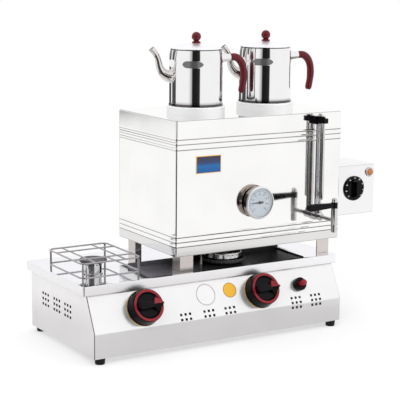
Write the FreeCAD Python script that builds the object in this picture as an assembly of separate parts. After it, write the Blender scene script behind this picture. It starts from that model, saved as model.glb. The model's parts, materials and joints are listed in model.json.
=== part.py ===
import FreeCAD, Part
import os
from math import atan2, cos, degrees, hypot, radians, sin, sqrt, tan

# Tea urn: a two-burner gas cabinet, a boiler tank that stands on it, and two teapots
# that stand on the tank. Sizes are in millimetres. +X is to the user's right, -Y is
# towards the user and +Z is up. The origin is the centre of the cabinet's footprint,
# on the surface that the feet stand on.

V = FreeCAD.Vector
UP = V(0, 0, 1)
FRONT = V(0, -1, 0)
BACK = V(0, 1, 0)
RIGHT = V(1, 0, 0)

# Sheet metal and clearances
sheet = 1.5
lift_gap = 0.3
turn_gap = 0.3
seat_gap = 0.1

# Cabinet
cabinet_width = 680.0
cabinet_depth = 334.0
foot_height = 14.5
foot_radius = 12.5
foot_tread = 11.0
foot_plug = 4.0
foot_inset_x = 20.0
foot_inset_y = 12.5
front_panel_height = 58.3
slope_run = 40.5
slope_rise = 82.4
vent_size = 6.0
vent_pitch_x = 11.9
vent_pitch_s = 12.0
vent_groups_x = (-113.5, -50.5, 7.4, 197.0, 255.0)
vent_columns = 3
vent_rows = 3
vent_first_row = 14.5
side_vent_height = 5.0
side_vent_length = 8.0
side_vent_pitch_z = 13.0
side_vent_pitch_y = 14.0
side_vent_top = 109.0
side_vent_groups_y = (-33.0, 25.0, 86.0)

# Hob top
hob_overhang_x = 10.0
hob_overhang_front = 8.0
hob_overhang_back = 4.6
hob_height = 21.9
hob_rim_width = 6.0
hob_rim_step = 2.9
hob_corner = 6.0
hob_flange = 22.0

# Drip tray, pressed flush into the hob top
tray_x = (-172.0, 255.0)
tray_inset = 41.0
tray_length_y = 115.0
tray_thickness = 1.2
tray_back_lip = 9.8
tray_side_lip = 2.5

# Burners
small_burner_inset_x = 70.0
small_burner_inset_y = 143.0
small_burner_radius = 20.0
small_burner_height = 27.8
small_cap_radius = 32.5
small_cap_thickness = 7.0
large_burner_x = 57.0
large_burner_inset_y = 100.0
large_bowl_radius = 54.5
large_bowl_height = 10.0
large_bowl_lift = 3.8
large_head_radius = 45.0
large_head_height = 16.0
flame_port_radius = 1.6
small_flame_ports = 16
large_flame_ports = 24
burner_wall = 2.0
pedestal_radius = 22.0
flute_count = 32
flute_radius = 2.6
electrode_radius = 2.5
electrode_gap = 6.0
electrode_tail = 24.0

# Pan support of bent wire
support_offset_x = 1.0
support_offset_y = -4.0
support_length_x = 154.0
support_length_y = 180.0
support_height = 50.0
support_wire = 2.0
support_bar = 1.8
support_leg = 2.3
support_corner = 14.0
support_ring_drop = 33.0

# Gas knobs, valves and igniter, measured up the slope from the bend
left_knob_inset = 134.0
right_knob_inset = 228.0
knob_slope = 43.0
bezel_radius = 42.0
bezel_thickness = 4.0
bezel_hole = 9.0
knob_back_radius = 41.0
knob_front_radius = 38.0
knob_front = 30.0
knob_push = 3.0
knob_wall = 3.0
knob_dish_radius = 30.0
knob_dish_depth = 4.0
knob_band_inner = 31.0
knob_band_outer = 37.0
knob_band_depth = 0.8
wing_length = 40.0
wing_width = 18.0
wing_front = 42.0
arrow_start = 5.0
arrow_middle = 21.0
arrow_half = 17.6
arrow_tip = 34.0
arrow_edge = 28.5
spindle_radius = 4.0
spindle_depth = 34.0
plug_radius = 7.0
plug_start = 12.0
plug_end = 38.0
valve_radius = 11.0
valve_start = 8.0
valve_end = 46.0
valve_neck = 6.0
rail_radius = 8.0
rail_end = 24.0
jet_radius = 4.0
jet_length = 16.0
mixer_radius = 9.0
mixer_wall = 1.2
mixer_gap = 4.0
igniter_inset = 114.0
igniter_slope = 45.0
igniter_collar_radius = 16.0
igniter_collar_height = 14.0
igniter_button_radius = 7.0
igniter_button_front = 30.0
igniter_travel = 8.0
igniter_barrel_radius = 10.0
igniter_barrel_length = 46.0
gas_inlet_inset = 80.0
gas_inlet_length = 22.0
gas_inlet_radius = 10.48
gas_inlet_bore = 6.0
gas_inlet_flange = 6.0

# Boiler tank
tank_x = (-105.3, 363.3)
tank_y = (-120.5, 158.4)
tank_bottom = 212.4
tank_height = 316.3
tank_corner = 4.0
tank_skirt = 8.0
bead_height = 1.6
bead_width = 6.0
beads_below_top = (42.0, 53.5, 66.0)
beads_above_bottom = (24.0, 35.0, 46.5)
leg_inset_x = 19.5
leg_inset_y = 13.0
leg_flange = 35.4
leg_thickness = 3.0

# Pot seats on the tank
pot_y = 19.0
left_pot_x = 30.0
right_pot_x = 230.0
seat_radius = 70.0
seat_height = 17.3
seat_hole = 52.0

# Dial thermometer
dial_x = 113.0
dial_z = 325.0
dial_case_radius = 39.0
dial_case_depth = 19.0
dial_standoff = 5.0
dial_plate_radius = 35.5
dial_plate_depth = 7.0
dial_case_wall = 2.0
pointer_length = 29.0
pivot_radius = 1.0
dial_stem_radius = 4.5
dial_stem_length = 95.0

# Tap and sight gauge share one line down the tank's front
gauge_x = 286.0
tap_hub_z = 277.0
tap_body_y = -203.5
tap_outlet_z = 248.5
tap_top_z = 321.0
tap_body_radius = 8.0
tap_stem_radius = 4.0
tap_cap_height = 11.0
tap_tail = 20.0
tap_nut = 5.0
tap_flange = 6.0
tap_sleeve_radius = 10.0
tap_outlet_bore = 4.6
tap_bore = 3.2
tap_pipe_radius = 5.0
tap_hub_radius = 12.0
lever_reach = 80.0
lever_height = 14.0
lever_thickness = 12.0
lever_end_height = 17.5
gauge_glass_radius = 5.5
gauge_glass_wall = 1.2
gauge_glass_y = -139.5
gauge_guard_radius = 9.0
gauge_guard_y = -137.5
gauge_top_z = 512.0
gauge_strip_radius = 5.0
gauge_strip_y = -150.5
gauge_strip_bottom = 318.0
gauge_port_radius = 4.0
gauge_foot = 15.0
bracket_half = 6.0
bracket_lip = 4.0
bracket_arm = 6.0
bracket_boss = 10.0
bracket_boss_depth = 14.0
bracket_overhang = 12.0

# Control box on the tank's right end
control_width = 119.7
control_front_y = -108.5
control_depth = 110.0
control_z = (264.7, 387.7)
control_corner = 4.0
thermostat_x = 417.0
thermostat_z = 330.0
thermostat_radius = 31.0
thermostat_depth = 20.0
thermostat_spindle = 3.0
thermostat_can = 21.0
thermostat_can_length = 26.0
thermostat_block = 14.0
thermostat_block_depth = 8.0
lamp_x = 465.0
lamp_z = 368.0
lamp_bezel_radius = 12.0
lamp_lens_radius = 8.0
element_z = 290.0
element_y = -53.5
element_radius = 4.0
element_spacing = 22.0
element_length = 210.0
gland_radius = 10.0
gland_thread = 7.0

# Teapots
pot_radius = 64.0
pot_wall = 1.2
pot_base_radius = 65.0
pot_base_thickness = 6.0
pot_shoulder_drop = 25.0
pot_rim_radius = 61.0
pot_height = 134.0
pot_turn = 12.0
lid_height = 14.0
lid_skirt = 9.0
ball_radius = 11.25
ball_height = 29.0
spout_root_drop = 63.5
spout_wall = 1.0
handle_drop = 22.0

# Lines of spout and handle: out from the pot's side, up from the root, and radius
spout_line = ((-6.0, 0.0, 16.5), (11.0, 2.5, 13.5), (23.0, 13.5, 10.0), (29.0, 29.5, 8.0),
              (34.0, 46.5, 7.0), (41.5, 58.0, 7.2), (48.0, 65.5, 8.0))
bracket_line = ((-7.0, 0.0, 14.0), (8.0, 0.0, 10.5), (23.0, 0.0, 8.2))
handle_line = ((23.0, 0.0, 8.2), (33.0, 1.5, 9.0), (45.0, -4.0, 9.3), (54.0, -17.0, 9.0),
               (58.0, -34.0, 8.8), (58.0, -52.5, 8.6), (55.5, -70.0, 8.4), (53.2, -82.0, 7.6),
               (52.6, -86.0, 4.5))

# Heights and planes that follow from the sizes above
front_y = -cabinet_depth / 2
back_y = cabinet_depth / 2
bend_z = foot_height + front_panel_height
cabinet_top = bend_z + slope_rise
slope_length = hypot(slope_run, slope_rise)
slope_up = V(0, slope_run, slope_rise) * (1 / slope_length)
slope_out = V(0, -slope_rise, slope_run) * (1 / slope_length)
slope_in = slope_out * -1
slope_lean = atan2(slope_run, slope_rise)
hob_x = cabinet_width / 2 + hob_overhang_x
hob_front = front_y + slope_run - hob_overhang_front
hob_back = back_y + hob_overhang_back
hob_rim_top = cabinet_top + hob_height
hob_surface = hob_rim_top - hob_rim_step
tank_top = tank_bottom + tank_height
tank_floor = tank_bottom + tank_skirt
seat_top = tank_top + seat_height
pot_floor = seat_top + lift_gap
side_signs = (-1, 1)
foot_places = [(sx * (cabinet_width / 2 - foot_inset_x), sy * (cabinet_depth / 2 - foot_inset_y))
               for sx in side_signs for sy in side_signs]
tray_y = (front_y + tray_inset, front_y + tray_inset + tray_length_y)
small_burner_x = small_burner_inset_x - cabinet_width / 2
small_burner_y = front_y + small_burner_inset_y
large_burner_y = front_y + large_burner_inset_y
electrode_places = (
    (small_burner_x - (small_burner_radius + electrode_gap), small_burner_y),
    (large_burner_x - (large_bowl_radius + electrode_gap), large_burner_y))
support_x = small_burner_x + support_offset_x
support_y = small_burner_y + support_offset_y
left_knob_x = left_knob_inset - cabinet_width / 2
right_knob_x = cabinet_width / 2 - right_knob_inset
knob_places = (("left", left_knob_x), ("right", right_knob_x))
igniter_x = cabinet_width / 2 - igniter_inset
gas_inlet_x = cabinet_width / 2 - gas_inlet_inset
valve_middle = (valve_start + valve_end) / 2
rail_drop = valve_radius + valve_neck / 3 + rail_radius
rail_end_left = left_knob_x - rail_end
pot_places = (("left", left_pot_x), ("right", right_pot_x))
dial_front = dial_standoff + dial_case_depth
dial_plate_level = dial_front - dial_plate_depth
dial_point = V(dial_x, tank_y[0], dial_z)
tap_shoulder_z = tap_top_z - lever_height
gauge_foot_z = tap_hub_z + gauge_foot
bracket_low = gauge_top_z - bracket_half
bracket_high = gauge_top_z + bracket_half
element_leg_y = (element_y - element_spacing / 2, element_y + element_spacing / 2)
control_x = (tank_x[1], tank_x[1] + control_width)
control_y = (control_front_y, control_front_y + control_depth)
knob_point = V(thermostat_x, control_front_y, thermostat_z)
lamp_point = V(lamp_x, control_front_y, lamp_z)
gland_point = V(thermostat_x, control_y[1], element_z)
pot_shoulder = pot_height - pot_shoulder_drop
spout_root_z = pot_height - spout_root_drop
handle_root_z = pot_height - handle_drop


def on_slope(x, s, out=0.0):
    """A point at x, s up the slope from the bend and out from its face."""
    return V(x, front_y, bend_z) + slope_up * s + slope_out * out


def box(x, y, z):
    """A box from three (low, high) pairs."""
    return Part.makeBox(x[1] - x[0], y[1] - y[0], z[1] - z[0], V(x[0], y[0], z[0]))


def rounded_box(x, y, z, corner):
    """A box whose upright edges are rounded."""
    block = box(x, y, z)
    upright = [e for e in block.Edges if abs(e.tangentAt(0).z) > 0.9]
    return block.makeFillet(corner, upright)


def rod(start, direction, radius, length):
    return Part.makeCylinder(radius, length, start, direction)


def ring(start, direction, outer, inner, length):
    return rod(start, direction, outer, length).cut(rod(start, direction, inner, length))


def outline(points, place):
    """A face from a closed outline: (a, b) is a corner and (ma, mb, a, b) ends an arc."""
    ends = [place(*point[-2:]) for point in points]
    edges = []
    for index, point in enumerate(points):
        start, end = ends[index - 1], ends[index]
        if start.isEqual(end, 1e-6):
            continue
        if len(point) == 4:
            edges.append(Part.Arc(start, place(*point[:2]), end).toShape())
        else:
            edges.append(Part.LineSegment(start, end).toShape())
    return Part.Face(Part.Wire(edges))


def across(a, b):
    return V(a, 0, b)


def side_on(a, b):
    return V(0, a, b)


def stand_on(shape, base, axis=UP):
    """Turns a shape's +Z to an axis and moves its origin to a point."""
    shape.Placement = FreeCAD.Placement(base, FreeCAD.Rotation(UP, axis))
    return shape


def turned(points, base=V(0, 0, 0), axis=UP):
    """A solid of revolution from (radius, height) points."""
    solid = outline(points, across).revolve(V(0, 0, 0), UP, 360)
    return stand_on(solid, base, axis)


def fused(shapes):
    whole = shapes[0]
    if len(shapes) > 1:
        whole = whole.fuse(shapes[1:]).removeSplitter()
    return whole


def bent_path(points, bend):
    """Straight runs joined by tangent arcs of one radius."""
    edges = []
    start = points[0]
    for index in range(1, len(points) - 1):
        corner = points[index]
        before = (corner - points[index - 1]).normalize()
        after = (points[index + 1] - corner).normalize()
        half_turn = before.getAngle(after) / 2
        reach = bend * tan(half_turn)
        enter, leave = corner - before * reach, corner + after * reach
        inward = (after - before).normalize()
        middle = corner + inward * (bend / cos(half_turn) - bend)
        edges.append(Part.LineSegment(start, enter).toShape())
        edges.append(Part.Arc(enter, middle, leave).toShape())
        start = leave
    edges.append(Part.LineSegment(start, points[-1]).toShape())
    return Part.Wire(edges)


def wire_rod(points, radius, bend):
    """A round bar bent along points."""
    path = bent_path(points, bend)
    section = Part.Wire(Part.makeCircle(radius, points[0], points[1] - points[0]))
    return path.makePipeShell([section], True, False)


def loop_rod(x, y, z, radius, corner):
    """A closed rectangle of round wire with rounded corners, centred on the wire."""
    cx = [(x[0] + corner, y[0] + corner), (x[1] - corner, y[0] + corner),
          (x[1] - corner, y[1] - corner), (x[0] + corner, y[1] - corner)]
    pieces = []
    for index, (px, py) in enumerate(cx):
        nx, ny = cx[(index + 1) % 4]
        heading = V(nx - px, ny - py, 0)
        length = heading.Length
        heading.normalize()
        outward = V(heading.y, -heading.x, 0)
        start = V(px, py, z) + outward * corner
        pieces.append(rod(start, heading, radius, length))
        section = Part.Face(Part.Wire(Part.makeCircle(radius, start, heading)))
        pieces.append(section.revolve(V(px, py, z), UP, -90))
    return fused(pieces)


def dome(r, low, high):
    """An arc from (r, low) to the axis at high, level where it meets the axis."""
    rise = high - low
    ball = (r * r + rise * rise) / (2 * rise)
    return (r / 2, high - ball + sqrt(ball * ball - r * r / 4), 0, high)


def save(node, *shapes):
    """Writes the solids of one node."""
    solids = [solid for shape in shapes for solid in shape.Solids]
    for solid in solids:
        if not solid.isValid() or solid.Volume <= 0:
            raise ValueError(node + " has a bad solid")
    whole = solids[0] if len(solids) == 1 else Part.makeCompound(solids)
    whole.exportStep("parts/" + node + ".step")


# Cabinet

def cabinet_side(wall):
    """The cabinet's outline seen from the side, drawn in by a wall."""
    bend_drop = wall * tan(slope_lean / 2)
    slope_foot = front_y + slope_run + wall / cos(slope_lean)
    return [(front_y + wall, foot_height), (front_y + wall, bend_z - bend_drop),
            (slope_foot, cabinet_top), (back_y - wall, cabinet_top),
            (back_y - wall, foot_height)]


def front_vents():
    """Square holes in three rows, of which the lowest is below the bend."""
    half = vent_size / 2
    holes = []
    for group in vent_groups_x:
        for column in range(vent_columns):
            x = group + column * vent_pitch_x
            for row in range(vent_rows):
                s = vent_first_row - row * vent_pitch_s
                punch = box((-half, half), (-half, half), (-half, half))
                if s + half > 0:
                    holes.append(stand_on(punch, on_slope(x, s), slope_out))
                else:
                    holes.append(stand_on(punch, V(x, front_y, bend_z + s), FRONT))
    return holes


def side_vents():
    """Three blocks of nine short slots in each end."""
    holes = []
    deep = 2 * sheet
    for side in side_signs:
        wall_x = side * cabinet_width / 2
        for middle in side_vent_groups_y:
            for column in range(-1, 2):
                y = middle + column * side_vent_pitch_y
                for row in range(3):
                    z = side_vent_top - row * side_vent_pitch_z
                    holes.append(box((wall_x - deep, wall_x + deep),
                                     (y - side_vent_length / 2, y + side_vent_length / 2),
                                     (z - side_vent_height / 2, z + side_vent_height / 2)))
    return holes


def stove_cabinet():
    half = cabinet_width / 2
    outer = outline(cabinet_side(0), side_on).extrude(V(cabinet_width, 0, 0))
    inner = outline(cabinet_side(sheet), side_on).extrude(V(cabinet_width - 2 * sheet, 0, 0))
    outer.translate(V(-half, 0, 0))
    inner.translate(V(sheet - half, 0, 0))
    deep = 3 * sheet
    holes = front_vents() + side_vents()
    for x in (left_knob_x, right_knob_x):
        holes.append(rod(on_slope(x, knob_slope, deep), slope_in, bezel_hole, 2 * deep))
    holes.append(rod(on_slope(igniter_x, igniter_slope, deep), slope_in,
                     igniter_barrel_radius, 2 * deep))
    holes.append(rod(V(gas_inlet_x, back_y + deep, rail_z), FRONT, rail_radius, 2 * deep))
    return outer.cut([inner] + holes)


def base_plate():
    half = cabinet_width / 2 - sheet
    plate = box((-half, half), (front_y + sheet, back_y - sheet),
                (foot_height, foot_height + sheet))
    return plate.cut([rod(V(x, y, 0), UP, foot_plug, cabinet_top) for x, y in foot_places])


def rubber_feet():
    """Tapered feet with a flat tread and a plug that snaps into the base plate."""
    top = foot_height + sheet
    profile = [(0, 0), (foot_tread, 0), (foot_radius, foot_height),
               (foot_plug, foot_height), (foot_plug, top), (foot_plug + 1.5, top),
               (foot_plug - 1, top + 3), (0, top + 3)]
    return [turned(profile, V(x, y, 0)) for x, y in foot_places]


# Hob

def hob_top():
    """The pressed worktop: a raised rim, a well for the tray and a flange underneath."""
    x, y = (-hob_x, hob_x), (hob_front, hob_back)
    rim = hob_rim_width
    outer = rounded_box(x, y, (cabinet_top, hob_rim_top), hob_corner)
    basin = rounded_box((x[0] + rim, x[1] - rim), (y[0] + rim, y[1] - rim),
                        (hob_surface, hob_rim_top + 1), hob_corner)
    well_floor = hob_surface - tray_thickness
    well = box(tray_x, tray_y, (well_floor, hob_rim_top))
    hollow = rounded_box((x[0] + sheet, x[1] - sheet), (y[0] + sheet, y[1] - sheet),
                         (cabinet_top + sheet, hob_surface - sheet), hob_corner - sheet)
    under_well = box((tray_x[0] - sheet, tray_x[1] + sheet), (tray_y[0] - sheet, tray_y[1] + sheet),
                     (well_floor - sheet, hob_surface))
    mouth = box((x[0] + hob_flange, x[1] - hob_flange), (y[0] + hob_flange, y[1] - hob_flange),
                (cabinet_top - 1, cabinet_top + 2 * sheet))
    pipes = [rod(V(bx, by, cabinet_top), UP, mixer_radius, hob_height)
             for bx, by in ((small_burner_x, small_burner_y), (large_burner_x, large_burner_y))]
    wires = [rod(V(ex, ey, cabinet_top), UP, electrode_radius, hob_height)
             for ex, ey in electrode_places]
    return outer.cut([basin, well, hollow.cut(under_well), mouth] + pipes + wires)


def drip_tray():
    floor = hob_surface - tray_thickness
    plate = box(tray_x, tray_y, (floor, hob_surface))
    back = box(tray_x, (tray_y[1] - tray_thickness, tray_y[1]), (floor, hob_surface + tray_back_lip))
    sides = [box((low, low + tray_thickness), tray_y, (floor, hob_surface + tray_side_lip))
             for low in (tray_x[0], tray_x[1] - tray_thickness)]
    hole = rod(V(large_burner_x, large_burner_y, cabinet_top), UP, pedestal_radius + lift_gap,
               hob_height)
    spark = rod(V(*electrode_places[1], cabinet_top), UP, electrode_radius, hob_height)
    return fused([plate, back] + sides).cut([hole, spark])


# Burners

def ports(x, y, z, count, reach):
    """Flame ports that point outwards round a burner."""
    holes = []
    for index in range(count):
        angle = radians(360.0 * index / count)
        heading = V(cos(angle), sin(angle), 0)
        holes.append(rod(V(x, y, z), heading, flame_port_radius, reach))
    return holes


def small_burner_body():
    r, h, wall = small_burner_radius, small_burner_height, burner_wall
    bore = mixer_radius - mixer_wall
    profile = [(bore, 0), (r + 3, 0), (r + 3, wall), (r, wall + 1), (r, h), (r - wall, h),
               (r - wall, wall), (bore, wall)]
    body = turned(profile, V(small_burner_x, small_burner_y, hob_surface))
    port_z = hob_surface + h - 3 * flame_port_radius
    return body.cut(ports(small_burner_x, small_burner_y, port_z, small_flame_ports, r + 5))


def small_burner_cap():
    """A cap with a rounded edge and a spigot that drops into the burner."""
    r, t = small_cap_radius, small_cap_thickness
    spigot = small_burner_radius - burner_wall - turn_gap
    edge = t / 2
    round_in = edge * (1 - cos(radians(45)))
    profile = [(0, -4), (spigot - 2, -4), (spigot, -2), (spigot, 0), (r - edge, 0),
               (r - round_in, edge - edge * sin(radians(45)), r, edge),
               (r - round_in, edge + edge * sin(radians(45)), r - edge, t),
               (r - 9, t - 0.6), (0, t - 1.6)]
    base = V(small_burner_x, small_burner_y, hob_surface + small_burner_height + lift_gap)
    return turned(profile, base)


def large_burner_bowl():
    """A dished bowl on a pedestal, with flutes round its outside."""
    r, h = large_bowl_radius, large_bowl_height
    lift = large_bowl_lift + tray_thickness
    bore = mixer_radius - mixer_wall
    profile = [(bore, 0), (pedestal_radius, 0), (pedestal_radius, lift), (r - 6, lift),
               (r - 1.5, lift + 3, r, lift + h), (r - 2.5, lift + h),
               (r - 4, lift + 5, r - 8, lift + 2.5), (bore, lift + 2.5)]
    base = V(large_burner_x, large_burner_y, hob_surface - tray_thickness)
    bowl = turned(profile, base)
    flutes = []
    for index in range(flute_count):
        angle = radians(360.0 * index / flute_count)
        spot = base + V((r + 1.2) * cos(angle), (r + 1.2) * sin(angle), lift)
        flutes.append(rod(spot, UP, flute_radius, h + 1))
    return bowl.cut(flutes)


def large_burner_head():
    """The flame ring, open in the middle, on a stem that stands in the bowl."""
    r, h, wall = large_head_radius, large_head_height, burner_wall
    floor = 2.5 + large_bowl_lift
    rise = large_bowl_height - 2.5
    bore = mixer_radius - mixer_wall
    profile = [(bore, 0), (pedestal_radius, 0), (pedestal_radius, rise), (r, rise),
               (r, rise + h - 5), (r - 0.7, rise + h - 1.4, r - 3, rise + h), (r - 15, rise + h),
               (r - 15, rise + h - wall), (r - wall, rise + h - wall), (r - wall, rise + wall),
               (pedestal_radius - wall, rise + wall), (pedestal_radius - wall, wall), (bore, wall)]
    head = turned(profile, V(large_burner_x, large_burner_y, hob_surface + floor))
    port_z = hob_surface + floor + rise + h - 4 * flame_port_radius
    return head.cut(ports(large_burner_x, large_burner_y, port_z, large_flame_ports, r + 5))


def ignition_electrodes():
    """A ceramic rod with a wire tip beside each burner."""
    reach = small_burner_height - 4
    profile = [(0, -electrode_tail), (electrode_radius, -electrode_tail), (electrode_radius, reach - 10),
               (0.9, reach - 8), (0.9, reach), (0, reach)]
    return [turned(profile, V(x, y, hob_surface)) for x, y in electrode_places]


# Gas valves, rail and mixing tubes

rail_point = on_slope(0, knob_slope - rail_drop, -valve_middle)
rail_y, rail_z = rail_point.y, rail_point.z
jet_point = on_slope(0, knob_slope, -(valve_end - 6))


def gas_rail():
    """A closed pipe behind the panel that turns to the back wall."""
    path = [V(rail_end_left, rail_y, rail_z), V(gas_inlet_x, rail_y, rail_z),
            V(gas_inlet_x, back_y - sheet, rail_z)]
    return wire_rod(path, rail_radius, 3 * rail_radius)


def gas_inlet():
    """A flanged stub with a pipe thread's outer radius, joined to the rail at the back wall."""
    r, reach, flange = gas_inlet_radius, gas_inlet_length, gas_inlet_flange
    profile = [(0, -sheet), (rail_radius, -sheet), (rail_radius, 0), (r + 5, 0), (r + 5, flange),
               (r, flange), (r, reach - 1), (r - 1, reach), (0, reach)]
    stub = turned(profile, V(gas_inlet_x, back_y, rail_z), BACK)
    return stub.cut(rod(V(gas_inlet_x, back_y + reach, rail_z), FRONT, gas_inlet_bore, reach - 2))


def valve_body(x):
    """A tap body with a plug bore, a neck that sits on the rail and a jet."""
    barrel = rod(on_slope(x, knob_slope, -valve_start), slope_in, valve_radius,
                 valve_end - valve_start)
    neck = rod(on_slope(x, knob_slope, -valve_middle), slope_up * -1, valve_neck, rail_drop)
    jet = rod(V(x, jet_point.y, jet_point.z), BACK, jet_radius, jet_length)
    bore = rod(on_slope(x, knob_slope), slope_in, plug_radius + turn_gap, plug_end + 1)
    rail = rod(V(x - 2 * valve_radius, rail_y, rail_z), RIGHT, rail_radius + seat_gap,
               4 * valve_radius)
    return fused([barrel, neck, jet]).cut([bore, rail])


def valve_plug(x):
    """The turning plug, bored for the spindle that slides in it."""
    return ring(on_slope(x, knob_slope, -plug_start), slope_in, plug_radius,
                spindle_radius + turn_gap, plug_end - plug_start)


def mixer_tube(x, burner_x, burner_y, top):
    """A tube from in front of the jet round to the underside of a burner."""
    start = V(x, jet_point.y + jet_length + mixer_gap, jet_point.z)
    path = [start, V(x, burner_y, start.z), V(burner_x, burner_y, start.z),
            V(burner_x, burner_y, top)]
    bend = mixer_radius + 3
    tube = wire_rod(path, mixer_radius, bend)
    return tube.cut(wire_rod(path, mixer_radius - mixer_wall, bend))


def mixer_tubes():
    floor = hob_surface - tray_thickness
    return [mixer_tube(left_knob_x, small_burner_x, small_burner_y, hob_surface),
            mixer_tube(right_knob_x, large_burner_x, large_burner_y, floor)]


# Knobs and igniter

def knob_bezel(x):
    r, t = bezel_radius, bezel_thickness
    profile = [(bezel_hole, 0), (r, 0), (r, t - 1.5), (r - 1.5, t), (r - 5, t), (r - 6, t - 1),
               (bezel_hole, t - 1)]
    return turned(profile, on_slope(x, knob_slope), slope_out)


def arrowhead(foot):
    """A roof over a kite that points to +X, with its ridge at the wing's level."""
    corners = [(arrow_start, 0, wing_front), (arrow_tip, 0, wing_front),
               (arrow_middle, arrow_half, arrow_edge), (arrow_middle, -arrow_half, arrow_edge)]
    corners += [(x, y, foot) for x, y, z in corners]
    faces = ((0, 2, 1), (0, 1, 3), (0, 4, 6, 2), (2, 6, 5, 1), (1, 5, 7, 3), (3, 7, 4, 0),
             (4, 7, 5, 6))
    walls = [Part.Face(Part.makePolygon([V(*corners[i]) for i in face + face[:1]]))
             for face in faces]
    return Part.Solid(Part.makeShell(walls))


def gas_knob(x):
    """A hollow knob with a band, a dished face and a wing with an arrowhead to +X."""
    back = bezel_thickness + knob_push + turn_gap
    inside = knob_back_radius - knob_wall
    face = knob_front - knob_dish_depth
    profile = [(spindle_radius, back), (spindle_radius + 5, back), (spindle_radius + 5, face - 4),
               (inside - 2, face - 4), (inside, back), (knob_back_radius, back),
               (knob_front_radius, knob_front - 1.5), (knob_front_radius - 1, knob_front),
               (knob_band_outer, knob_front), (knob_band_outer, knob_front - knob_band_depth),
               (knob_band_inner, knob_front - knob_band_depth), (knob_band_inner, knob_front),
               (knob_dish_radius, knob_front), (knob_dish_radius - 3, face + 1),
               (0, face), (0, face - 2), (spindle_radius, face - 2)]
    body = turned(profile)
    end, half, foot = arrow_start + 5, wing_width / 2, face - 1
    start = end - wing_length
    wing = outline([(start + half, -half), (end, 2 - half), (end, half - 2),
                    (start + half, half), (start, 0, start + half, -half)],
                   lambda a, b: V(a, b, foot))
    bar = wing.extrude(V(0, 0, wing_front - foot))
    top_edges = [e for e in bar.Edges if all(abs(p.Z - wing_front) < 0.01 for p in e.Vertexes)]
    bar = bar.makeFillet(2.0, top_edges)
    return stand_on(fused([body, bar, arrowhead(foot)]), on_slope(x, knob_slope), slope_out)


def spindle(x):
    """The shaft that the knob is pressed on, from inside the plug to the knob's face."""
    reach = knob_front - knob_dish_depth - 2 + spindle_depth
    return rod(on_slope(x, knob_slope, -spindle_depth), slope_out, spindle_radius, reach)


def igniter_body():
    """A collar with a barrel and a nut behind the panel."""
    r, h = igniter_collar_radius, igniter_collar_height
    bore = igniter_button_radius + turn_gap
    barrel, depth = igniter_barrel_radius, igniter_barrel_length
    profile = [(bore, h - 2), (bore + 2, h), (r - 3, h), (r - 0.9, h - 0.9, r, h - 3), (r, 0),
               (barrel, 0), (barrel, -sheet), (barrel + 5, -sheet), (barrel + 5, -sheet - 5),
               (barrel, -sheet - 5), (barrel, -depth), (0, -depth), (0, -depth + 4),
               (bore, -depth + 4)]
    return turned(profile, on_slope(igniter_x, igniter_slope), slope_out)


def igniter_button():
    r, top = igniter_button_radius, igniter_button_front
    tail = igniter_barrel_length - 4 - igniter_travel - 2
    profile = [(0, -tail), (r, -tail), (r, top - 2.5), (r - 0.8, top - 0.8, r - 2.5, top), (0, top)]
    return turned(profile, on_slope(igniter_x, igniter_slope), slope_out)


# Pan support

def pan_support():
    """Welded wire: a top frame with crossing bars, a lower ring and four corner legs."""
    half_x, half_y = support_length_x / 2, support_length_y / 2
    x = (support_x - half_x, support_x + half_x)
    y = (support_y - half_y, support_y + half_y)
    wire = support_wire
    top = hob_surface + support_height - wire
    floor = hob_surface + lift_gap
    ring_z = top - support_ring_drop
    pieces = [loop_rod((x[0] + wire, x[1] - wire), (y[0] + wire, y[1] - wire), level, wire,
                       support_corner) for level in (top, ring_z)]
    for share in (0.25, 0.75):
        bar_x = x[0] + share * support_length_x
        bar_y = y[0] + share * support_length_y
        pieces.append(rod(V(bar_x, y[0] + wire, top - 1.1), BACK, support_bar,
                          support_length_y - 2 * wire))
        pieces.append(rod(V(x[0] + wire, bar_y, top + 0.1), RIGHT, support_bar,
                          support_length_x - 2 * wire))
    inset = wire + 0.4 + support_corner * (1 - cos(radians(45)))
    for leg_x in (x[0] + inset, x[1] - inset):
        for leg_y in (y[0] + inset, y[1] - inset):
            pieces.append(rod(V(leg_x, leg_y, floor), UP, support_leg, top - floor))
    return fused(pieces)


# Boiler tank

def in_tank(inset, z, corner=tank_corner):
    """An upright block on the tank's outline, drawn in by an inset."""
    return rounded_box((tank_x[0] + inset, tank_x[1] - inset),
                       (tank_y[0] + inset, tank_y[1] - inset), z, corner)


def tank_shell():
    """Beaded walls with a floor set up inside them, open at the top."""
    body = in_tank(0, (tank_bottom, tank_top))
    levels = [tank_top - drop for drop in beads_below_top]
    levels += [tank_bottom + rise for rise in beads_above_bottom]
    beads = []
    for level in levels:
        bead = in_tank(-bead_height, (level - bead_width / 2, level + bead_width / 2),
                       tank_corner + bead_height)
        rims = [e for e in bead.Edges if abs(e.tangentAt(0).z) < 0.1]
        beads.append(bead.makeChamfer(bead_height * 0.95, rims))
    inside = in_tank(sheet, (tank_floor + sheet, tank_top + 1), tank_corner - sheet)
    skirt = in_tank(sheet, (tank_bottom - 1, tank_floor), tank_corner - sheet)
    wall = tank_y[0] - 2 * bead_height
    holes = [rod(V(dial_x, wall, dial_z), BACK, dial_stem_radius, 12),
             rod(V(gauge_x, wall, tap_hub_z), BACK, tap_pipe_radius, 12),
             rod(V(gauge_x, wall, gauge_top_z), BACK, gauge_port_radius, 12)]
    for y in element_leg_y:
        holes.append(rod(V(tank_x[1] - 6, y, element_z), RIGHT, element_radius, 12))
    return fused([body] + beads).cut([inside, skirt] + holes)


def top_deck():
    deck = in_tank(sheet, (tank_top - sheet, tank_top), tank_corner - sheet)
    return deck.cut([rod(V(x, pot_y, tank_bottom), UP, seat_radius, tank_height + 1)
                     for side, x in pot_places])


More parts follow.
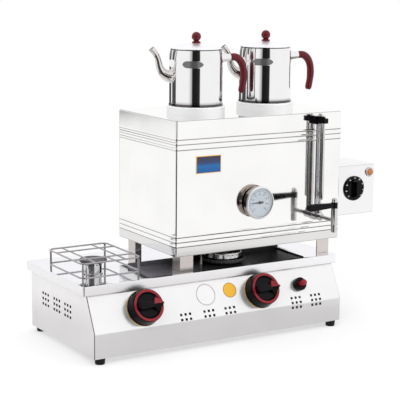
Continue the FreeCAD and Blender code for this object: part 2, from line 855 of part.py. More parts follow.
def pot_seat(x):
    """A raised collar that a pot stands on, open for the steam."""
    r, h, edge = seat_radius, seat_height, 3.0
    soft = edge * (1 - cos(radians(45)))
    profile = [(seat_hole, h - sheet), (r - sheet, h - sheet), (r - sheet, -sheet), (r, -sheet),
               (r, h - edge), (r - soft, h - soft, r - edge, h), (seat_hole, h)]
    return turned(profile, V(x, pot_y, tank_top))


def tank_legs():
    """Four angle legs under the tank's floor."""
    floor = hob_surface + lift_gap
    z = (floor, tank_floor)
    legs = []
    for end, inward_x in ((tank_x[0] + leg_inset_x, 1), (tank_x[1] - leg_inset_x, -1)):
        for face, inward_y in ((tank_y[0] + leg_inset_y, 1), (tank_y[1] - leg_inset_y, -1)):
            wide = sorted((end, end + inward_x * leg_flange))
            deep = sorted((face, face + inward_y * leg_flange))
            thin_x = sorted((end, end + inward_x * leg_thickness))
            thin_y = sorted((face, face + inward_y * leg_thickness))
            legs.append(fused([box(wide, thin_y, z), box(thin_x, deep, z)]))
    return legs


# Dial thermometer

def thermometer_case():
    """A round case with a bezel that turns in over the glass."""
    r, front, back = dial_case_radius, dial_front, dial_standoff
    lip = dial_plate_radius
    profile = [(0, back), (r - 4, back), (r, back + 4), (r, front - 2), (r - 2, front),
               (lip, front), (lip, front - 1.5), (r - dial_case_wall, front - 1.5),
               (r - dial_case_wall, back + dial_case_wall), (0, back + dial_case_wall)]
    return turned(profile, dial_point, FRONT)


def thermometer_dial():
    r, level = dial_case_radius - dial_case_wall, dial_plate_level
    return turned([(pivot_radius + turn_gap, level), (r, level), (r, level + 1),
                   (pivot_radius + turn_gap, level + 1)], dial_point, FRONT)


def thermometer_pointer():
    """A needle that points to -X, with a tail, a hub and its pivot."""
    level = dial_plate_level + 1.6
    needle = outline([(-pointer_length, 0), (-3, -1.6), (10, -2.4), (10, 2.4), (-3, 1.6)],
                     lambda a, b: V(a, b, level))
    blade = needle.extrude(V(0, 0, 0.8))
    hub = turned([(0, level), (3.5, level), (3.5, level + 1.2), (0, level + 1.2)])
    pivot = rod(V(0, 0, dial_plate_level - 3), UP, pivot_radius, 5)
    return stand_on(fused([blade, hub, pivot]), dial_point, FRONT)


def thermometer_glass():
    r, front = dial_case_radius - dial_case_wall, dial_front - 1.5
    return turned([(0, front - 1.8), (r, front - 1.8), (r, front), (0, front)], dial_point, FRONT)


def thermometer_stem():
    """A probe with a nut that clamps the wall, screwed into the case's back."""
    r, reach = dial_stem_radius, dial_stem_length
    profile = [(0, -reach), (r - 1, -reach), (r, -reach + 2), (r, -sheet - 4),
               (2.4 * r, -sheet - 4), (2.4 * r, -sheet), (r, -sheet), (r, 0), (2.4 * r, 0),
               (2.4 * r, dial_standoff), (0, dial_standoff)]
    return turned(profile, dial_point, FRONT)


# Tap

def tap_inlet():
    """A pipe from the tank's wall to the tap, with a nut, a flange and the gauge's boss."""
    reach = tank_y[0] - tap_body_y
    r, nut, sleeve = tap_pipe_radius, sheet + tap_nut, tap_sleeve_radius
    start = V(gauge_x, tank_y[0], tap_hub_z)
    sleeve_end = tank_y[0] - gauge_glass_y + gauge_guard_radius + sheet
    taper = tap_flange / 3
    profile = [(0, -tap_tail), (r, -tap_tail), (r, -nut), (tap_hub_radius, -nut),
               (tap_hub_radius, -sheet), (r, -sheet), (r, 0), (tap_hub_radius, 0),
               (tap_hub_radius, tap_flange), (sleeve, tap_flange + taper),
               (sleeve, sleeve_end), (r, sleeve_end + 2 * taper), (r, reach), (0, reach)]
    pipe = turned(profile, start, FRONT)
    boss_base = V(gauge_x, gauge_glass_y, tap_hub_z)
    boss = rod(boss_base, UP, gauge_guard_radius, gauge_foot)
    end = tap_tail + turn_gap
    bore = rod(start + V(0, end, 0), FRONT, tap_bore, end + reach)
    socket = rod(boss_base + V(0, 0, gauge_foot / 2), UP, gauge_glass_radius, gauge_foot)
    port = rod(boss_base, UP, gauge_glass_radius - gauge_glass_wall, gauge_foot)
    barrel = rod(V(gauge_x, tap_body_y, tap_outlet_z), UP, tap_body_radius,
                 tap_top_z - tap_outlet_z)
    return fused([pipe, boss]).cut([bore, socket, port, barrel])


def tap_body():
    """An upright body with an open outlet, and a stem and a cap that hold the lever."""
    low, r, bore = tap_outlet_z, tap_body_radius, tap_outlet_bore
    stem, top = tap_stem_radius, tap_top_z + turn_gap
    cap, crown = r * 0.8, top + tap_cap_height
    inside = tap_hub_z + tap_hub_radius / 2
    profile = [(bore, low), (r * 0.87, low), (r * 0.95, tap_hub_z - 8), (r, tap_hub_z - 6),
               (r, tap_shoulder_z), (stem, tap_shoulder_z), (stem, top), (cap, top),
               (cap, crown - 4), dome(cap, crown - 4, crown), (0, inside + bore), (bore, inside)]
    body = turned(profile, V(gauge_x, tap_body_y, 0))
    return body.cut(rod(V(gauge_x, tap_body_y, tap_hub_z), BACK, tap_bore, 2 * r))


def tap_lever():
    """A ring round the tap's stem with a moulded handle that points to -X."""
    low, high = tap_shoulder_z + turn_gap, tap_top_z
    centre = V(gauge_x, tap_body_y, low)
    middle = (high - low) / 2
    r, tip, half = tap_body_radius, lever_end_height / 2, lever_thickness / 2
    hub = rod(centre, UP, r, high - low)
    side = outline([(-r + 2, 1), (-r + 2, 2 * middle - 1), (-lever_reach + tip, middle + tip - 1),
                    (-lever_reach, middle - 1, -lever_reach + tip, middle - tip - 1)],
                   lambda a, b: centre + V(a, -half, b))
    arm = side.extrude(V(0, lever_thickness, 0))
    ends = [e for e in arm.Edges if e.Length > lever_end_height and e.BoundBox.YLength < 0.1]
    whole = fused([hub, arm.makeFillet(3.0, ends)])
    return whole.cut(rod(centre, UP, tap_stem_radius + turn_gap, high - low))


# Sight gauge

def gauge_guard():
    """A half pipe behind the glass, open to the front."""
    foot = V(gauge_x, gauge_guard_y, gauge_foot_z)
    length = bracket_low - bracket_lip - gauge_foot_z
    r = gauge_guard_radius
    pipe = ring(foot, UP, r, r - sheet, length)
    mouth = box((gauge_x - 2 * r, gauge_x + 2 * r), (gauge_guard_y - 2 * r, gauge_guard_y - 2),
                (gauge_foot_z - 1, bracket_low + 1))
    return pipe.cut(mouth)


def gauge_glass():
    foot = V(gauge_x, gauge_glass_y, tap_hub_z + gauge_foot / 2)
    r = gauge_glass_radius
    return ring(foot, UP, r, r - gauge_glass_wall, gauge_top_z - foot.z)


def gauge_strip():
    """A half-round guard in front of the glass, hung from the bracket."""
    r = gauge_strip_radius
    foot = V(gauge_x, gauge_strip_y, gauge_strip_bottom + r)
    bar = rod(foot, UP, r, bracket_low - foot.z)
    end = Part.makeSphere(r, foot)
    behind = box((gauge_x - r, gauge_x + r), (gauge_strip_y, gauge_strip_y + 2 * r),
                 (gauge_strip_bottom - 1, bracket_low + 1))
    return fused([bar, end]).cut(behind)


def gauge_bracket():
    """A block on the wall with an arm over the glass, the guard and the strip."""
    low, high, front = bracket_low, bracket_high, gauge_strip_y - bracket_overhang
    arm = box((gauge_x - bracket_arm, gauge_x + bracket_arm), (front, tank_y[0]), (low, high))
    boss = box((gauge_x - bracket_boss, gauge_x + bracket_boss),
               (tank_y[0] - bracket_boss_depth, tank_y[0]),
               (low - bracket_lip, high + bracket_lip))
    plug = rod(V(gauge_x, tank_y[0], gauge_top_z), BACK, gauge_port_radius, tap_nut + sheet)
    nuts = [rod(V(gauge_x, y, high), UP, gauge_strip_radius, rise)
            for y, rise in ((gauge_glass_y, tap_flange * 5 / 3), (gauge_strip_y, tap_flange))]
    socket = rod(V(gauge_x, gauge_glass_y, low - bracket_lip), UP, gauge_glass_radius,
                 bracket_half + bracket_lip)
    return fused([arm, boss, plug] + nuts).cut(socket)


# Control box

def control_box():
    """A cover that is open towards the tank."""
    x, y, z = control_x, control_y, control_z
    outer = box(x, y, z)
    right_edges = [e for e in outer.Edges if all(p.X > x[1] - 1 for p in e.Vertexes)]
    outer = outer.makeFillet(control_corner, right_edges)
    inner = box((x[0] - 1, x[1] - sheet), (y[0] + sheet, y[1] - sheet), (z[0] + sheet, z[1] - sheet))
    rims = [e for e in inner.Edges if all(p.X > x[1] - sheet - 1 for p in e.Vertexes)]
    inner = inner.makeFillet(control_corner - sheet, rims)
    holes = [rod(knob_point, BACK, thermostat_spindle + 1, 2 * sheet),
             rod(lamp_point, BACK, lamp_lens_radius, 2 * sheet),
             rod(gland_point, FRONT, gland_thread, 2 * sheet)]
    return outer.cut([inner] + holes)


def thermostat_body():
    """A can behind the panel, bored for the knob's spindle, with a terminal block."""
    inside, half = control_front_y + sheet, thermostat_block
    rear = inside + thermostat_can_length
    can = rod(knob_point + V(0, sheet, 0), BACK, thermostat_can, thermostat_can_length)
    block = box((thermostat_x - half, thermostat_x + half), (rear, rear + thermostat_block_depth),
                (thermostat_z - half, thermostat_z + half))
    bore = rod(knob_point, BACK, thermostat_spindle + turn_gap, thermostat_depth - 2)
    return fused([can, block]).cut(bore)


def thermostat_knob():
    """A skirted knob with a grip bar across it, and its spindle."""
    r, depth = thermostat_radius, thermostat_depth
    profile = [(0, turn_gap), (r, turn_gap), (r, 3), (r - 2, 4.5), (r - 8, 5), (r - 9.5, depth - 2),
               (r - 11.5, depth), (0, depth)]
    body = turned(profile)
    slot = 4.5
    for side in side_signs:
        low, high = sorted((side * slot, side * r))
        body = body.cut(box((low, high), (-r * 0.62, r * 0.62), (8, depth + 1)))
    shaft = rod(V(0, 0, -14), UP, thermostat_spindle, 16)
    return stand_on(fused([body, shaft]), knob_point, FRONT)


def lamp_bezel():
    r, inner = lamp_bezel_radius, lamp_lens_radius
    profile = [(inner, 0), (r, 0), (r, 2), (r - 1, 3.5), (inner + 1, 3.5), (inner, 2.5)]
    return turned(profile, lamp_point, FRONT)


def lamp_lens():
    r = lamp_lens_radius
    profile = [(0, -16), (r - 1, -16), (r - 1, -sheet - 4), (r, -sheet - 4), (r, 3),
               dome(r, 3, 6.5)]
    return turned(profile, lamp_point, FRONT)


def heating_element():
    """A bent tube in the water on a flange outside the wall, with two terminals."""
    near, far = tank_x[1] + 14.0, tank_x[1] - element_length
    path = [V(near, element_leg_y[0], element_z), V(far, element_leg_y[0], element_z),
            V(far, element_leg_y[1], element_z), V(near, element_leg_y[1], element_z)]
    tube = wire_rod(path, element_radius, element_spacing * 0.49)
    flange = rod(V(tank_x[1], element_y, element_z), RIGHT, element_spacing, 5)
    return fused([tube, flange])


def cable_gland():
    """A threaded gland with its nut and dome, empty, on the cover's back."""
    r, thread = gland_radius, gland_thread
    profile = [(thread - 2.5, -sheet - 6), (thread, -sheet - 6), (thread, 0), (r, 0), (r, 6),
               (r - 1, 7), (r - 1, 14), (r - 4, 19), (thread - 2.5, 19)]
    return turned(profile, gland_point, BACK)


# Teapots, drawn with the spout along +X and then turned to their places

def at_pot(shape, x, level=0.0):
    """Moves a shape from its own axis to a pot's place."""
    shape.Placement = FreeCAD.Placement(V(x, pot_y, pot_floor + level),
                                        FreeCAD.Rotation(UP, 180.0 - pot_turn))
    return shape


def pot_side(wall, low):
    """The pot's outline above its base, drawn in by a wall."""
    middle = ((pot_radius + pot_rim_radius) / 2 + 0.8, (pot_shoulder + pot_height) / 2)
    return [(0, low), (pot_radius - wall, low), (pot_radius - wall, pot_shoulder),
            (middle[0] - wall, middle[1], pot_rim_radius - wall, pot_height), (0, pot_height)]


def pot_body(x):
    """A spun shell on a thick base disc, with strainer holes behind the spout."""
    base = turned([(0, 0), (pot_base_radius - 1, 0), (pot_base_radius, 1),
                   (pot_base_radius, pot_base_thickness), (0, pot_base_thickness)])
    shell = turned(pot_side(0, pot_base_thickness))
    hollow = turned(pot_side(pot_wall, pot_base_thickness))
    holes = [rod(V(pot_radius - 6, y, spout_root_z + z), RIGHT, 2.5, 12)
             for y, z in ((0, 0), (9, 0), (-9, 0), (5, 8), (-5, 8), (5, -8), (-5, -8))]
    return at_pot(fused([base, shell.cut(hollow)]).cut(holes), x)


def lofted(line, side, level, inset=0.0):
    """A smooth bar through a line's circles, on the pot's +X (1) or -X (-1) side."""
    sections = []
    for index, (reach, rise, r) in enumerate(line):
        lean = 90.0 * side
        if index > 0:
            before = line[index - 1]
            after = line[min(index + 1, len(line) - 1)]
            lean = degrees(atan2(side * (after[0] - before[0]), after[1] - before[1]))
        circle = Part.Wire(Part.makeCircle(r - inset))
        circle.Placement = FreeCAD.Placement(V(side * (pot_radius + reach), 0, level + rise),
                                             FreeCAD.Rotation(V(0, 1, 0), lean))
        sections.append(circle)
    return Part.makeLoft(sections, True, False)


def spout(x):
    bar = lofted(spout_line, 1, spout_root_z)
    inside = lofted(spout_line, 1, spout_root_z, spout_wall)
    return at_pot(bar.cut([inside, turned(pot_side(0, 0))]), x)


def handle_bracket(x):
    return at_pot(lofted(bracket_line, -1, handle_root_z).cut(turned(pot_side(0, 0))), x)


def handle(x):
    return at_pot(lofted(handle_line, -1, handle_root_z), x)


def lid(x):
    """A thin dome with a flange on the pot's rim and a skirt inside it."""
    r, h, wall = pot_rim_radius + 0.5, lid_height, pot_wall
    skirt = pot_rim_radius - pot_wall - 1.0
    inner = dome(skirt - wall, 0.4, h - wall)
    profile = [(0, h - wall), (inner[0], inner[1], skirt - wall, 0.4), (skirt - wall, -lid_skirt),
               (skirt, -lid_skirt), (skirt, 0), (r, 0), (r, 1.5), dome(r, 1.5, h)]
    return at_pot(turned(profile), x, pot_height + lift_gap)


def lid_knob(x):
    """A ball on a flanged neck."""
    r, middle, foot = ball_radius, ball_height, lid_height
    neck = radians(60)
    profile = [(0, foot), (r - 1, foot), (r - 1, foot + 2.5), (r - 4, foot + 4.5),
               (r * cos(neck), middle - r * sin(neck)), (r, middle, 0, middle + r)]
    return at_pot(turned(profile), x, pot_height + lift_gap)


def main():
    os.makedirs("parts", exist_ok=True)
    save("stove_cabinet", stove_cabinet())
    save("base_plate", base_plate())
    save("rubber_feet", *rubber_feet())
    save("hob_top", hob_top())
    save("drip_tray", drip_tray())
    save("small_burner_body", small_burner_body())
    save("small_burner_cap", small_burner_cap())
    save("large_burner_bowl", large_burner_bowl())
    save("large_burner_head", large_burner_head())
    save("ignition_electrodes", *ignition_electrodes())
    save("gas_rail", gas_rail())
    save("gas_inlet", gas_inlet())
    save("mixer_tubes", *mixer_tubes())
    save("valve_bodies", *[valve_body(x) for side, x in knob_places])
    save("knob_bezels", *[knob_bezel(x) for side, x in knob_places])
    for side, x in knob_places:
        save(side + "_valve_plug", valve_plug(x))
        save(side + "_spindle", spindle(x))
        save(side + "_gas_knob", gas_knob(x))
    save("igniter_body", igniter_body())
    save("igniter_button", igniter_button())
    save("pan_support", pan_support())
    save("tank_shell", tank_shell())
    save("top_deck", top_deck())
    save("pot_seats", *[pot_seat(x) for side, x in pot_places])
    save("tank_legs", *tank_legs())
    save("thermometer_case", thermometer_case())
    save("thermometer_dial", thermometer_dial())
    save("thermometer_pointer", thermometer_pointer())
    save("thermometer_glass", thermometer_glass())
    save("thermometer_stem", thermometer_stem())
    save("tap_inlet", tap_inlet())
    save("tap_body", tap_body())
    save("tap_lever", tap_lever())
    save("gauge_guard", gauge_guard())
    save("gauge_glass", gauge_glass())
    save("gauge_strip", gauge_strip())
    save("gauge_bracket", gauge_bracket())
    save("control_box", control_box())
    save("thermostat_body", thermostat_body())
    save("thermostat_knob", thermostat_knob())
    save("lamp_bezel", lamp_bezel())
    save("lamp_lens", lamp_lens())
    save("heating_element", heating_element())
    save("cable_gland", cable_gland())
    for side, x in pot_places:
        save(side + "_pot_body", pot_body(x))
        save(side + "_spout", spout(x))
        save(side + "_handle_bracket", handle_bracket(x))
        save(side + "_handle", handle(x))
        save(side + "_lid", lid(x))
        save(side + "_lid_knob", lid_knob(x))


main()
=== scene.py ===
import json
import math

import bmesh
import bpy
from mathutils import Matrix, Vector


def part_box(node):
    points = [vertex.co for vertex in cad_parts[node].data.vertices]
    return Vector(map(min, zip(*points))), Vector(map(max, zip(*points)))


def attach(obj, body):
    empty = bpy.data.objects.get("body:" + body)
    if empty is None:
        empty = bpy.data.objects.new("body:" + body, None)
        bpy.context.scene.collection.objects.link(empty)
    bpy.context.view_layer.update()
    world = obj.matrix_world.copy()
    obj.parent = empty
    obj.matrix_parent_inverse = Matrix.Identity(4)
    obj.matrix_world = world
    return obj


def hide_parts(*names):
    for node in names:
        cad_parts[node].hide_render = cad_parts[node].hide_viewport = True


# Finish of the tea urn. Pieces are shaped in millimetres and turned into metres when
# they are finished. +X is to the user's right, -Y is towards the user and +Z is up.
# Azimuth 0 is straight in front and 90 is to the user's right. The camera is at -31.5.

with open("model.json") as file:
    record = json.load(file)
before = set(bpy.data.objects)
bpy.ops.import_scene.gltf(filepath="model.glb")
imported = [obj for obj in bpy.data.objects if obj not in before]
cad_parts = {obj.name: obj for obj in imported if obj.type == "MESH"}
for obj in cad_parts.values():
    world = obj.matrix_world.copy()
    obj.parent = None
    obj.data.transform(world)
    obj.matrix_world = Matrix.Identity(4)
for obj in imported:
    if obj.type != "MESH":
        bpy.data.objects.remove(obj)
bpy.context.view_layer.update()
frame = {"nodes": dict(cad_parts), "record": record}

MM = 0.001
UP = Vector((0, 0, 1))
FRONT = Vector((0, -1, 0))
BACK = Vector((0, 1, 0))
RIGHT = Vector((1, 0, 0))

# Camera, as solved from the photograph
camera_azimuth = math.radians(-31.5175)
camera_elevation = math.radians(10.3817)
camera_roll = math.radians(0.543)
camera_distance = 3206.4
camera_target = Vector((32.83, 0.0, 316.06))
focal_length_px = 1321.4
photo_width_px = 400
sensor_width = 36.0

# Floor, by distance from its middle
floor_radius = 1250.0
floor_white = (450.0, 1100.0)
floor_share_of_white = 0.5
floor_colour = (0.9, 0.9, 0.9)

# Floor as metal mirrors it: a glow with painted shade, greyer in front, brighter far out, gone at
# its edge
mirrored_floor_colour = (1.0, 0.975, 0.975)
mirrored_floor_front = (-200.0, 0.0)
mirrored_floor_strength = (0.56, 0.72)
mirrored_floor_far = (450.0, 750.0)
mirrored_floor_far_gain = 0.25
mirrored_floor_edge = (650.0, 950.0)

# Dark cards that metal mirrors: middle azimuth, half width and softness, in degrees
strip_card = (-31.0, 17.0, 2.0)
strip_darkness = 0.97
shade_card = (-40.0, 16.0, 9.0)
shade_darkness = 0.55
shoulder_card = (-48.0, 38.0, 18.0)
shoulder_darkness = 0.8
shoulder_least = 0.02
side_card = (-135.5, 7.5, 2.0)
pot_side_card = (-143.0, 13.0, 1.5)
rear_card = (-191.0, 25.0, 2.0)
back_darkness = 0.93
low_card = (-72.0, 24.0, 3.0)
low_darkness = 0.88
ground_darkness = 0.8
ceiling_darkness = 0.03

# Heights of the cards' soft edges, as sines of the angle above the horizon
shoulder_foot = 0.44
shoulder_top = 0.46
pot_side_foot = (-0.114, -0.11)
back_foot = (-0.24, -0.21)
back_top = (-0.09, -0.03)
low_top = (-0.135, -0.12)
ground_top = (-0.7, -0.35)
ceiling_foot = (0.5, 0.95)

# Light that dull surfaces get from below and from above
soft_light_heights = (-0.4, 0.6)
soft_light_strengths = (0.35, 0.85)

# Lamps: place, size in metres and power in watts
lamps = {"key": ((-1900, -1900, 2300), 1.6, 38.0),
         "fill": ((2300, -1500, 1500), 1.6, 16.0),
         "top": ((200, 400, 2600), 1.8, 16.0)}

# Sheet metal
sheet = 1.5

# Rounded edges: radius, segments and the least angle, in degrees, between their faces
cabinet_fold = (3.0, 4, 10.0)
hob_edge = (1.3, 3, 50.0)
plate_edge = (0.3, 2, 25.0)

# Meshes: steps of a full turn, and gaps that are closed
turn_steps = 96
mark_steps = 64
seam_gap = 0.001
weld_gap = 0.002

# Angles, in degrees, up to which faces are shaded as one
made_crease = 35.0
arrow_crease = 60.0
fixed_crease = 30.0

# Cabinet. A place on its sloping panel is (x, s), with s up the slope from the bend.
panel_bend_z = 72.8
slope_run = 40.5
slope_rise = 82.4
slope_length = math.hypot(slope_run, slope_rise)
vent_size = 6.0
vent_pitch_x = 11.9
vent_pitch_s = 12.0
vent_groups = ((-113.5, 2), (-50.5, 2), (7.4, 2), (197.0, 3), (255.0, 3))
vent_first_row = 14.5
vent_columns = 3
side_vent_height = 6.2
side_vent_length = 8.0
side_vent_pitch_z = 13.0
side_vent_pitch_y = 14.0
side_vent_top = 109.0
side_vent_groups_y = (-33.0, 25.0, 86.0)
side_vent_rows = 3

# Hob
hob_rim_width = 6.0
hob_rim_step = 2.9
hob_rim_slope = 0.8
hob_corner = 6.0
hob_corner_segments = 5
hob_return = 20.0
tray_lap = 2.0

# Tank
tank_corner = 4.0
tank_corner_segments = 6
tank_edge = 2.5
bead_height = 1.6
bead_width = 6.0
beads_below_top = (42.0, 53.5, 66.0)
beads_above_bottom = (24.0, 35.0, 46.5)

# Pots, above their seats
pot_height = 134.0
shoulder_from = 92.0
shoulder_to = 110.0
neck_depth = 3.2
neck_from = 109.0
neck_length = 25.0

# Knobs on the slope
knob_up_slope = 43.0
gas_knob_x = {"left": -206.0, "right": 112.0}
igniter_x = 226.0
igniter_up_slope = 45.0
spindle_hole = 18.0
knob_front = 30.0
band_inner = 31.15
band_outer = 36.85
band_depths = (1.2, 0.1)
arrow_face = ((5.0, 0.0, 42.0), (34.0, 0.0, 42.0), (21.0, 17.6, 28.5))
arrow_margin = 0.3
arrow_skin = 0.25
bezel_line = (41.4, 42.0)
bezel_line_out = (0.6, 2.6)

# Thermostat knob on the control box
thermostat_x = 417.0
thermostat_z = 330.0
skirt_radius = 26.2
skirt_rise = 4.9
skirt_print_height = 0.5
skirt_numbers = range(30, 111, 10)

# Thermometer's scale
dial_radius = 29.0
dial_divisions = 40
dial_divisions_per_long_tick = 5
short_tick_from = 26.5
short_tick_half = 0.25
long_tick_from = 24.5
long_tick_half = 0.5
dial_number_radius = 20.5
dial_print_height = 0.1
dial_gap = 0.05
dial_numbers = range(0, 121, 15)

# Both scales, in degrees from the user's right, and the height of their numbers
scale_start = 225
scale_sweep = 270
number_height = 5.0

# Marks on the slope, as (x, s, radius), with profiles as (beyond the radius, height)
ring_mark = (-37.0, 53.4, 26.0)
gold_mark = (30.0, 56.0, 18.0)
ring_profile = ((-2.6, 0), (-2.0, 0.5), (-0.6, 0.5), (0, 0))
gold_rim_profile = ((-1.5, 0), (-1.5, 0.45), (0, 0.3), (0, 0))
gold_disc_margin = 1.2
foil = 0.3

# Plate on the tank's front
name_plate_x = (-52.5, 15.1)
name_plate_z = (403.5, 444.5)
plate_border = 1.6
plate_frame_depth = (0.8, 0.0)
plate_field_depth = (1.1, 0.7)

# Lines and bands of another colour, mostly painted shade, with some painted sheen: full up to, gone
# from, both in mm, and their share
fold_shade_line = (1.3, 2.08, 1.0)
panel_shadow = (2.0, 4.0, 0.6)
hob_lip = (-4.0, -3.0, 1.0)
corner_shade_line = (1.1, 1.9, 0.9)
lower_bead_shade = (0.6, 1.4, 0.85)
upper_bead_shade = (0.6, 1.4, 0.5)
bead_shade_drop = 0.36 * bead_width
tank_rim_shade = (0.4, 1.0, 0.5)
tank_rim_drop = 0.8
tank_foot_shade = (0.8, 1.8, 0.6)
tank_foot_shade_band = (-1.0, 0.0, 0.2)
pot_foot_band = (6.0, 13.2, 0.45)
pot_foot_height = 6.0
pot_rim_drop = 1.2
pot_ends_share = 0.93
lid_gap_shade = (0.9, 1.3, 0.85)
case_rim = (3.5, 4.5, 1.0)
box_edge_shade = (0.5, 1.1, 0.55)
tray_sheen = (-220.0, 20.0, 0.9)
nut_height = 6.5

# Grain of sheet metal: fine lines run along the axis with the small share
along_x = (0.01, 1.0, 1.0)
along_z = (1.0, 1.0, 0.02)
along_z_short = (1.0, 1.0, 0.05)
along_z_shortest = (1.0, 1.0, 0.1)
level_rings = (0.02, 0.02, 1.0)
no_grain = (1.0, 1.0, 1.0)

# Patterns, by how many of them a metre takes
grain_scale = 900.0
smudge_scale = 9.0
wave_scale = 4.0
ring_scale = 1600.0
cloud_scale = 20.0
pebble_scale = 1400.0
wear_scale = 30.0
patch_scale = 40.0

# Heights of patterns, in metres
fine_relief = 0.0002
sandy_relief = 0.0004
wavy_relief = 0.0006

# Looks that differ from a slot's own, by the end of a node's name
looks = {"_handle": "dark_red_plastic", "_lid_knob": "dark_red_plastic", "_lid": "lid_steel",
         "_pot_body": "pot_steel", "_spout": "spout_steel", "pot_seats": "matt_steel",
         "tank_legs": "leg_steel", "pan_support": "wire", "thermometer_case": "case_steel",
         "control_box": "box_steel", "gauge_bracket": "bracket_black"}


def span(node):
    """A fixed node's lowest and highest corner in millimetres."""
    low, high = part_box(node)
    return low / MM, high / MM


# Mesh tools

def merged(bm):
    """Closes seams and turns the faces outwards."""
    bmesh.ops.remove_doubles(bm, verts=bm.verts[:], dist=seam_gap)
    bmesh.ops.recalc_face_normals(bm, faces=bm.faces[:])
    return bm


def softened(bm, radius, segments, angle):
    """Rounds the edges that turn by more than an angle."""
    edges = [edge for edge in bm.edges
             if edge.is_manifold and edge.calc_face_angle(0) > math.radians(angle)]
    bmesh.ops.bevel(bm, geom=edges, offset=radius, offset_type="OFFSET", segments=segments,
                    profile=0.5, affect="EDGES", clamp_overlap=True, material=-1)


def rounded_corners(bm, verts, radius, segments):
    bmesh.ops.bevel(bm, geom=verts, offset=radius, offset_type="OFFSET", segments=segments,
                    profile=0.5, affect="VERTICES", clamp_overlap=True, material=-1)


def turned(points, steps=turn_steps):
    """A shape turned about Z from (radius, height) points."""
    bm = bmesh.new()
    verts = [bm.verts.new((radius, 0, height)) for radius, height in points]
    for a, b in zip(verts, verts[1:]):
        bm.edges.new((a, b))
    if points[0][0] > 0:
        bm.edges.new((verts[-1], verts[0]))
    bmesh.ops.spin(bm, geom=bm.verts[:] + bm.edges[:], cent=(0, 0, 0), axis=(0, 0, 1),
                   dvec=(0, 0, 0), angle=math.tau, steps=steps, use_merge=True,
                   use_duplicate=False)
    return merged(bm)


def block(x, y, z):
    """A box between two places on each axis."""
    bm = bmesh.new()
    bmesh.ops.create_cube(bm, size=1.0)
    size = Vector((x[1] - x[0], y[1] - y[0], z[1] - z[0]))
    middle = Vector((x[0] + x[1], y[0] + y[1], z[0] + z[1])) / 2
    bmesh.ops.scale(bm, vec=size, verts=bm.verts[:])
    bmesh.ops.translate(bm, vec=middle, verts=bm.verts[:])
    return bm


def placed(bm, base, axis):
    """Leans a shape's Z to an axis and moves its origin to a point."""
    lean = UP.rotation_difference(axis).to_matrix().to_4x4()
    bmesh.ops.transform(bm, matrix=Matrix.Translation(base) @ lean, verts=bm.verts[:])
    return bm


def joined(shapes):
    """Gathers shapes into the first of them."""
    whole = shapes[0]
    for shape in shapes[1:]:
        scrap = bpy.data.meshes.new("scrap")
        shape.to_mesh(scrap)
        shape.free()
        whole.from_mesh(scrap)
        bpy.data.meshes.remove(scrap)
    return whole


def lettering(words, thickness):
    """Plain letters that stand out of the XY plane, centred on the origin."""
    text = bpy.data.curves.new("text", "FONT")
    text.body = words
    text.size = number_height
    text.extrude = thickness / 2
    text.align_x = "CENTER"
    text.align_y = "CENTER"
    holder = bpy.data.objects.new("holder", text)
    bpy.context.scene.collection.objects.link(holder)
    bpy.context.view_layer.update()
    mesh = bpy.data.meshes.new_from_object(
        holder.evaluated_get(bpy.context.evaluated_depsgraph_get()))
    bm = bmesh.new()
    bm.from_mesh(mesh)
    bpy.data.objects.remove(holder)
    bpy.data.curves.remove(text)
    bpy.data.meshes.remove(mesh)
    return merged(bm)


def piece(name, bm, body, paint, slot, *nodes, crease=made_crease):
    """Finishes a shape: shades it, gives it its material and seats it on its body."""
    for face in bm.faces:
        face.smooth = True
    for edge in bm.edges:
        if edge.is_manifold:
            edge.smooth = edge.calc_face_angle(0) < math.radians(crease)
    bmesh.ops.scale(bm, vec=(MM, MM, MM), verts=bm.verts[:])
    mesh = bpy.data.meshes.new(name)
    bm.to_mesh(mesh)
    bm.free()
    mesh.materials.append(paint)
    thing = bpy.data.objects.new(name, mesh)
    bpy.context.scene.collection.objects.link(thing)
    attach(thing, body)
    if nodes:
        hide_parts(*nodes)
    return thing


def walled(thing, inner=None):
    """Gives a sheet its thickness, inwards, and shades its flat faces flat."""
    wall = thing.modifiers.new("wall", "SOLIDIFY")
    wall.thickness = sheet * MM
    wall.offset = -1.0
    wall.use_even_offset = True
    if inner:
        thing.data.materials.append(inner)
        wall.material_offset = 1
        wall.material_offset_rim = 1
    shade = thing.modifiers.new("shade", "WEIGHTED_NORMAL")
    shade.keep_sharp = True


def finished(node, paint):
    """Gives a fixed node its material, and smooths its faces where they meet gently."""
    thing = frame["nodes"][node]
    thing.data.materials.clear()
    thing.data.materials.append(paint)
    for polygon in thing.data.polygons:
        polygon.use_smooth = True
    weld = thing.modifiers.new("weld", "WELD")
    weld.merge_threshold = weld_gap * MM
    split = thing.modifiers.new("crease", "EDGE_SPLIT")
    split.split_angle = math.radians(fixed_crease)


# Places on the sloping panel

cabinet_low, cabinet_high = span("stove_cabinet")
slope_up = Vector((0, slope_run, slope_rise)) / slope_length
slope_out = RIGHT.cross(slope_up)


def sloped(x, s):
    """A point on the sloping panel, up it by s from the bend."""
    return Vector((x, cabinet_low.y, panel_bend_z)) + slope_up * s


def on_slope(bm, x, s):
    """Seats a shape on the sloping panel, with its Z out of the panel."""
    return placed(bm, sloped(x, s), slope_out)


# Shader tools

class Value:
    """A node's output, ready for sums."""

    def __init__(self, tree, socket):
        self.tree = tree
        self.socket = socket

    def maths(self, operation, first, second=0.0):
        return self.tree.maths(operation, first, second)

    def __add__(self, other):
        return self.maths("ADD", self, other)

    def __radd__(self, other):
        return self.maths("ADD", other, self)

    def __sub__(self, other):
        return self.maths("SUBTRACT", self, other)

    def __rsub__(self, other):
        return self.maths("SUBTRACT", other, self)

    def __mul__(self, other):
        return self.maths("MULTIPLY", self, other)

    def __rmul__(self, other):
        return self.maths("MULTIPLY", other, self)

    def __gt__(self, other):
        return self.maths("GREATER_THAN", self, other)

    def __lt__(self, other):
        return self.maths("LESS_THAN", self, other)

    def size(self):
        return self.maths("ABSOLUTE", self)


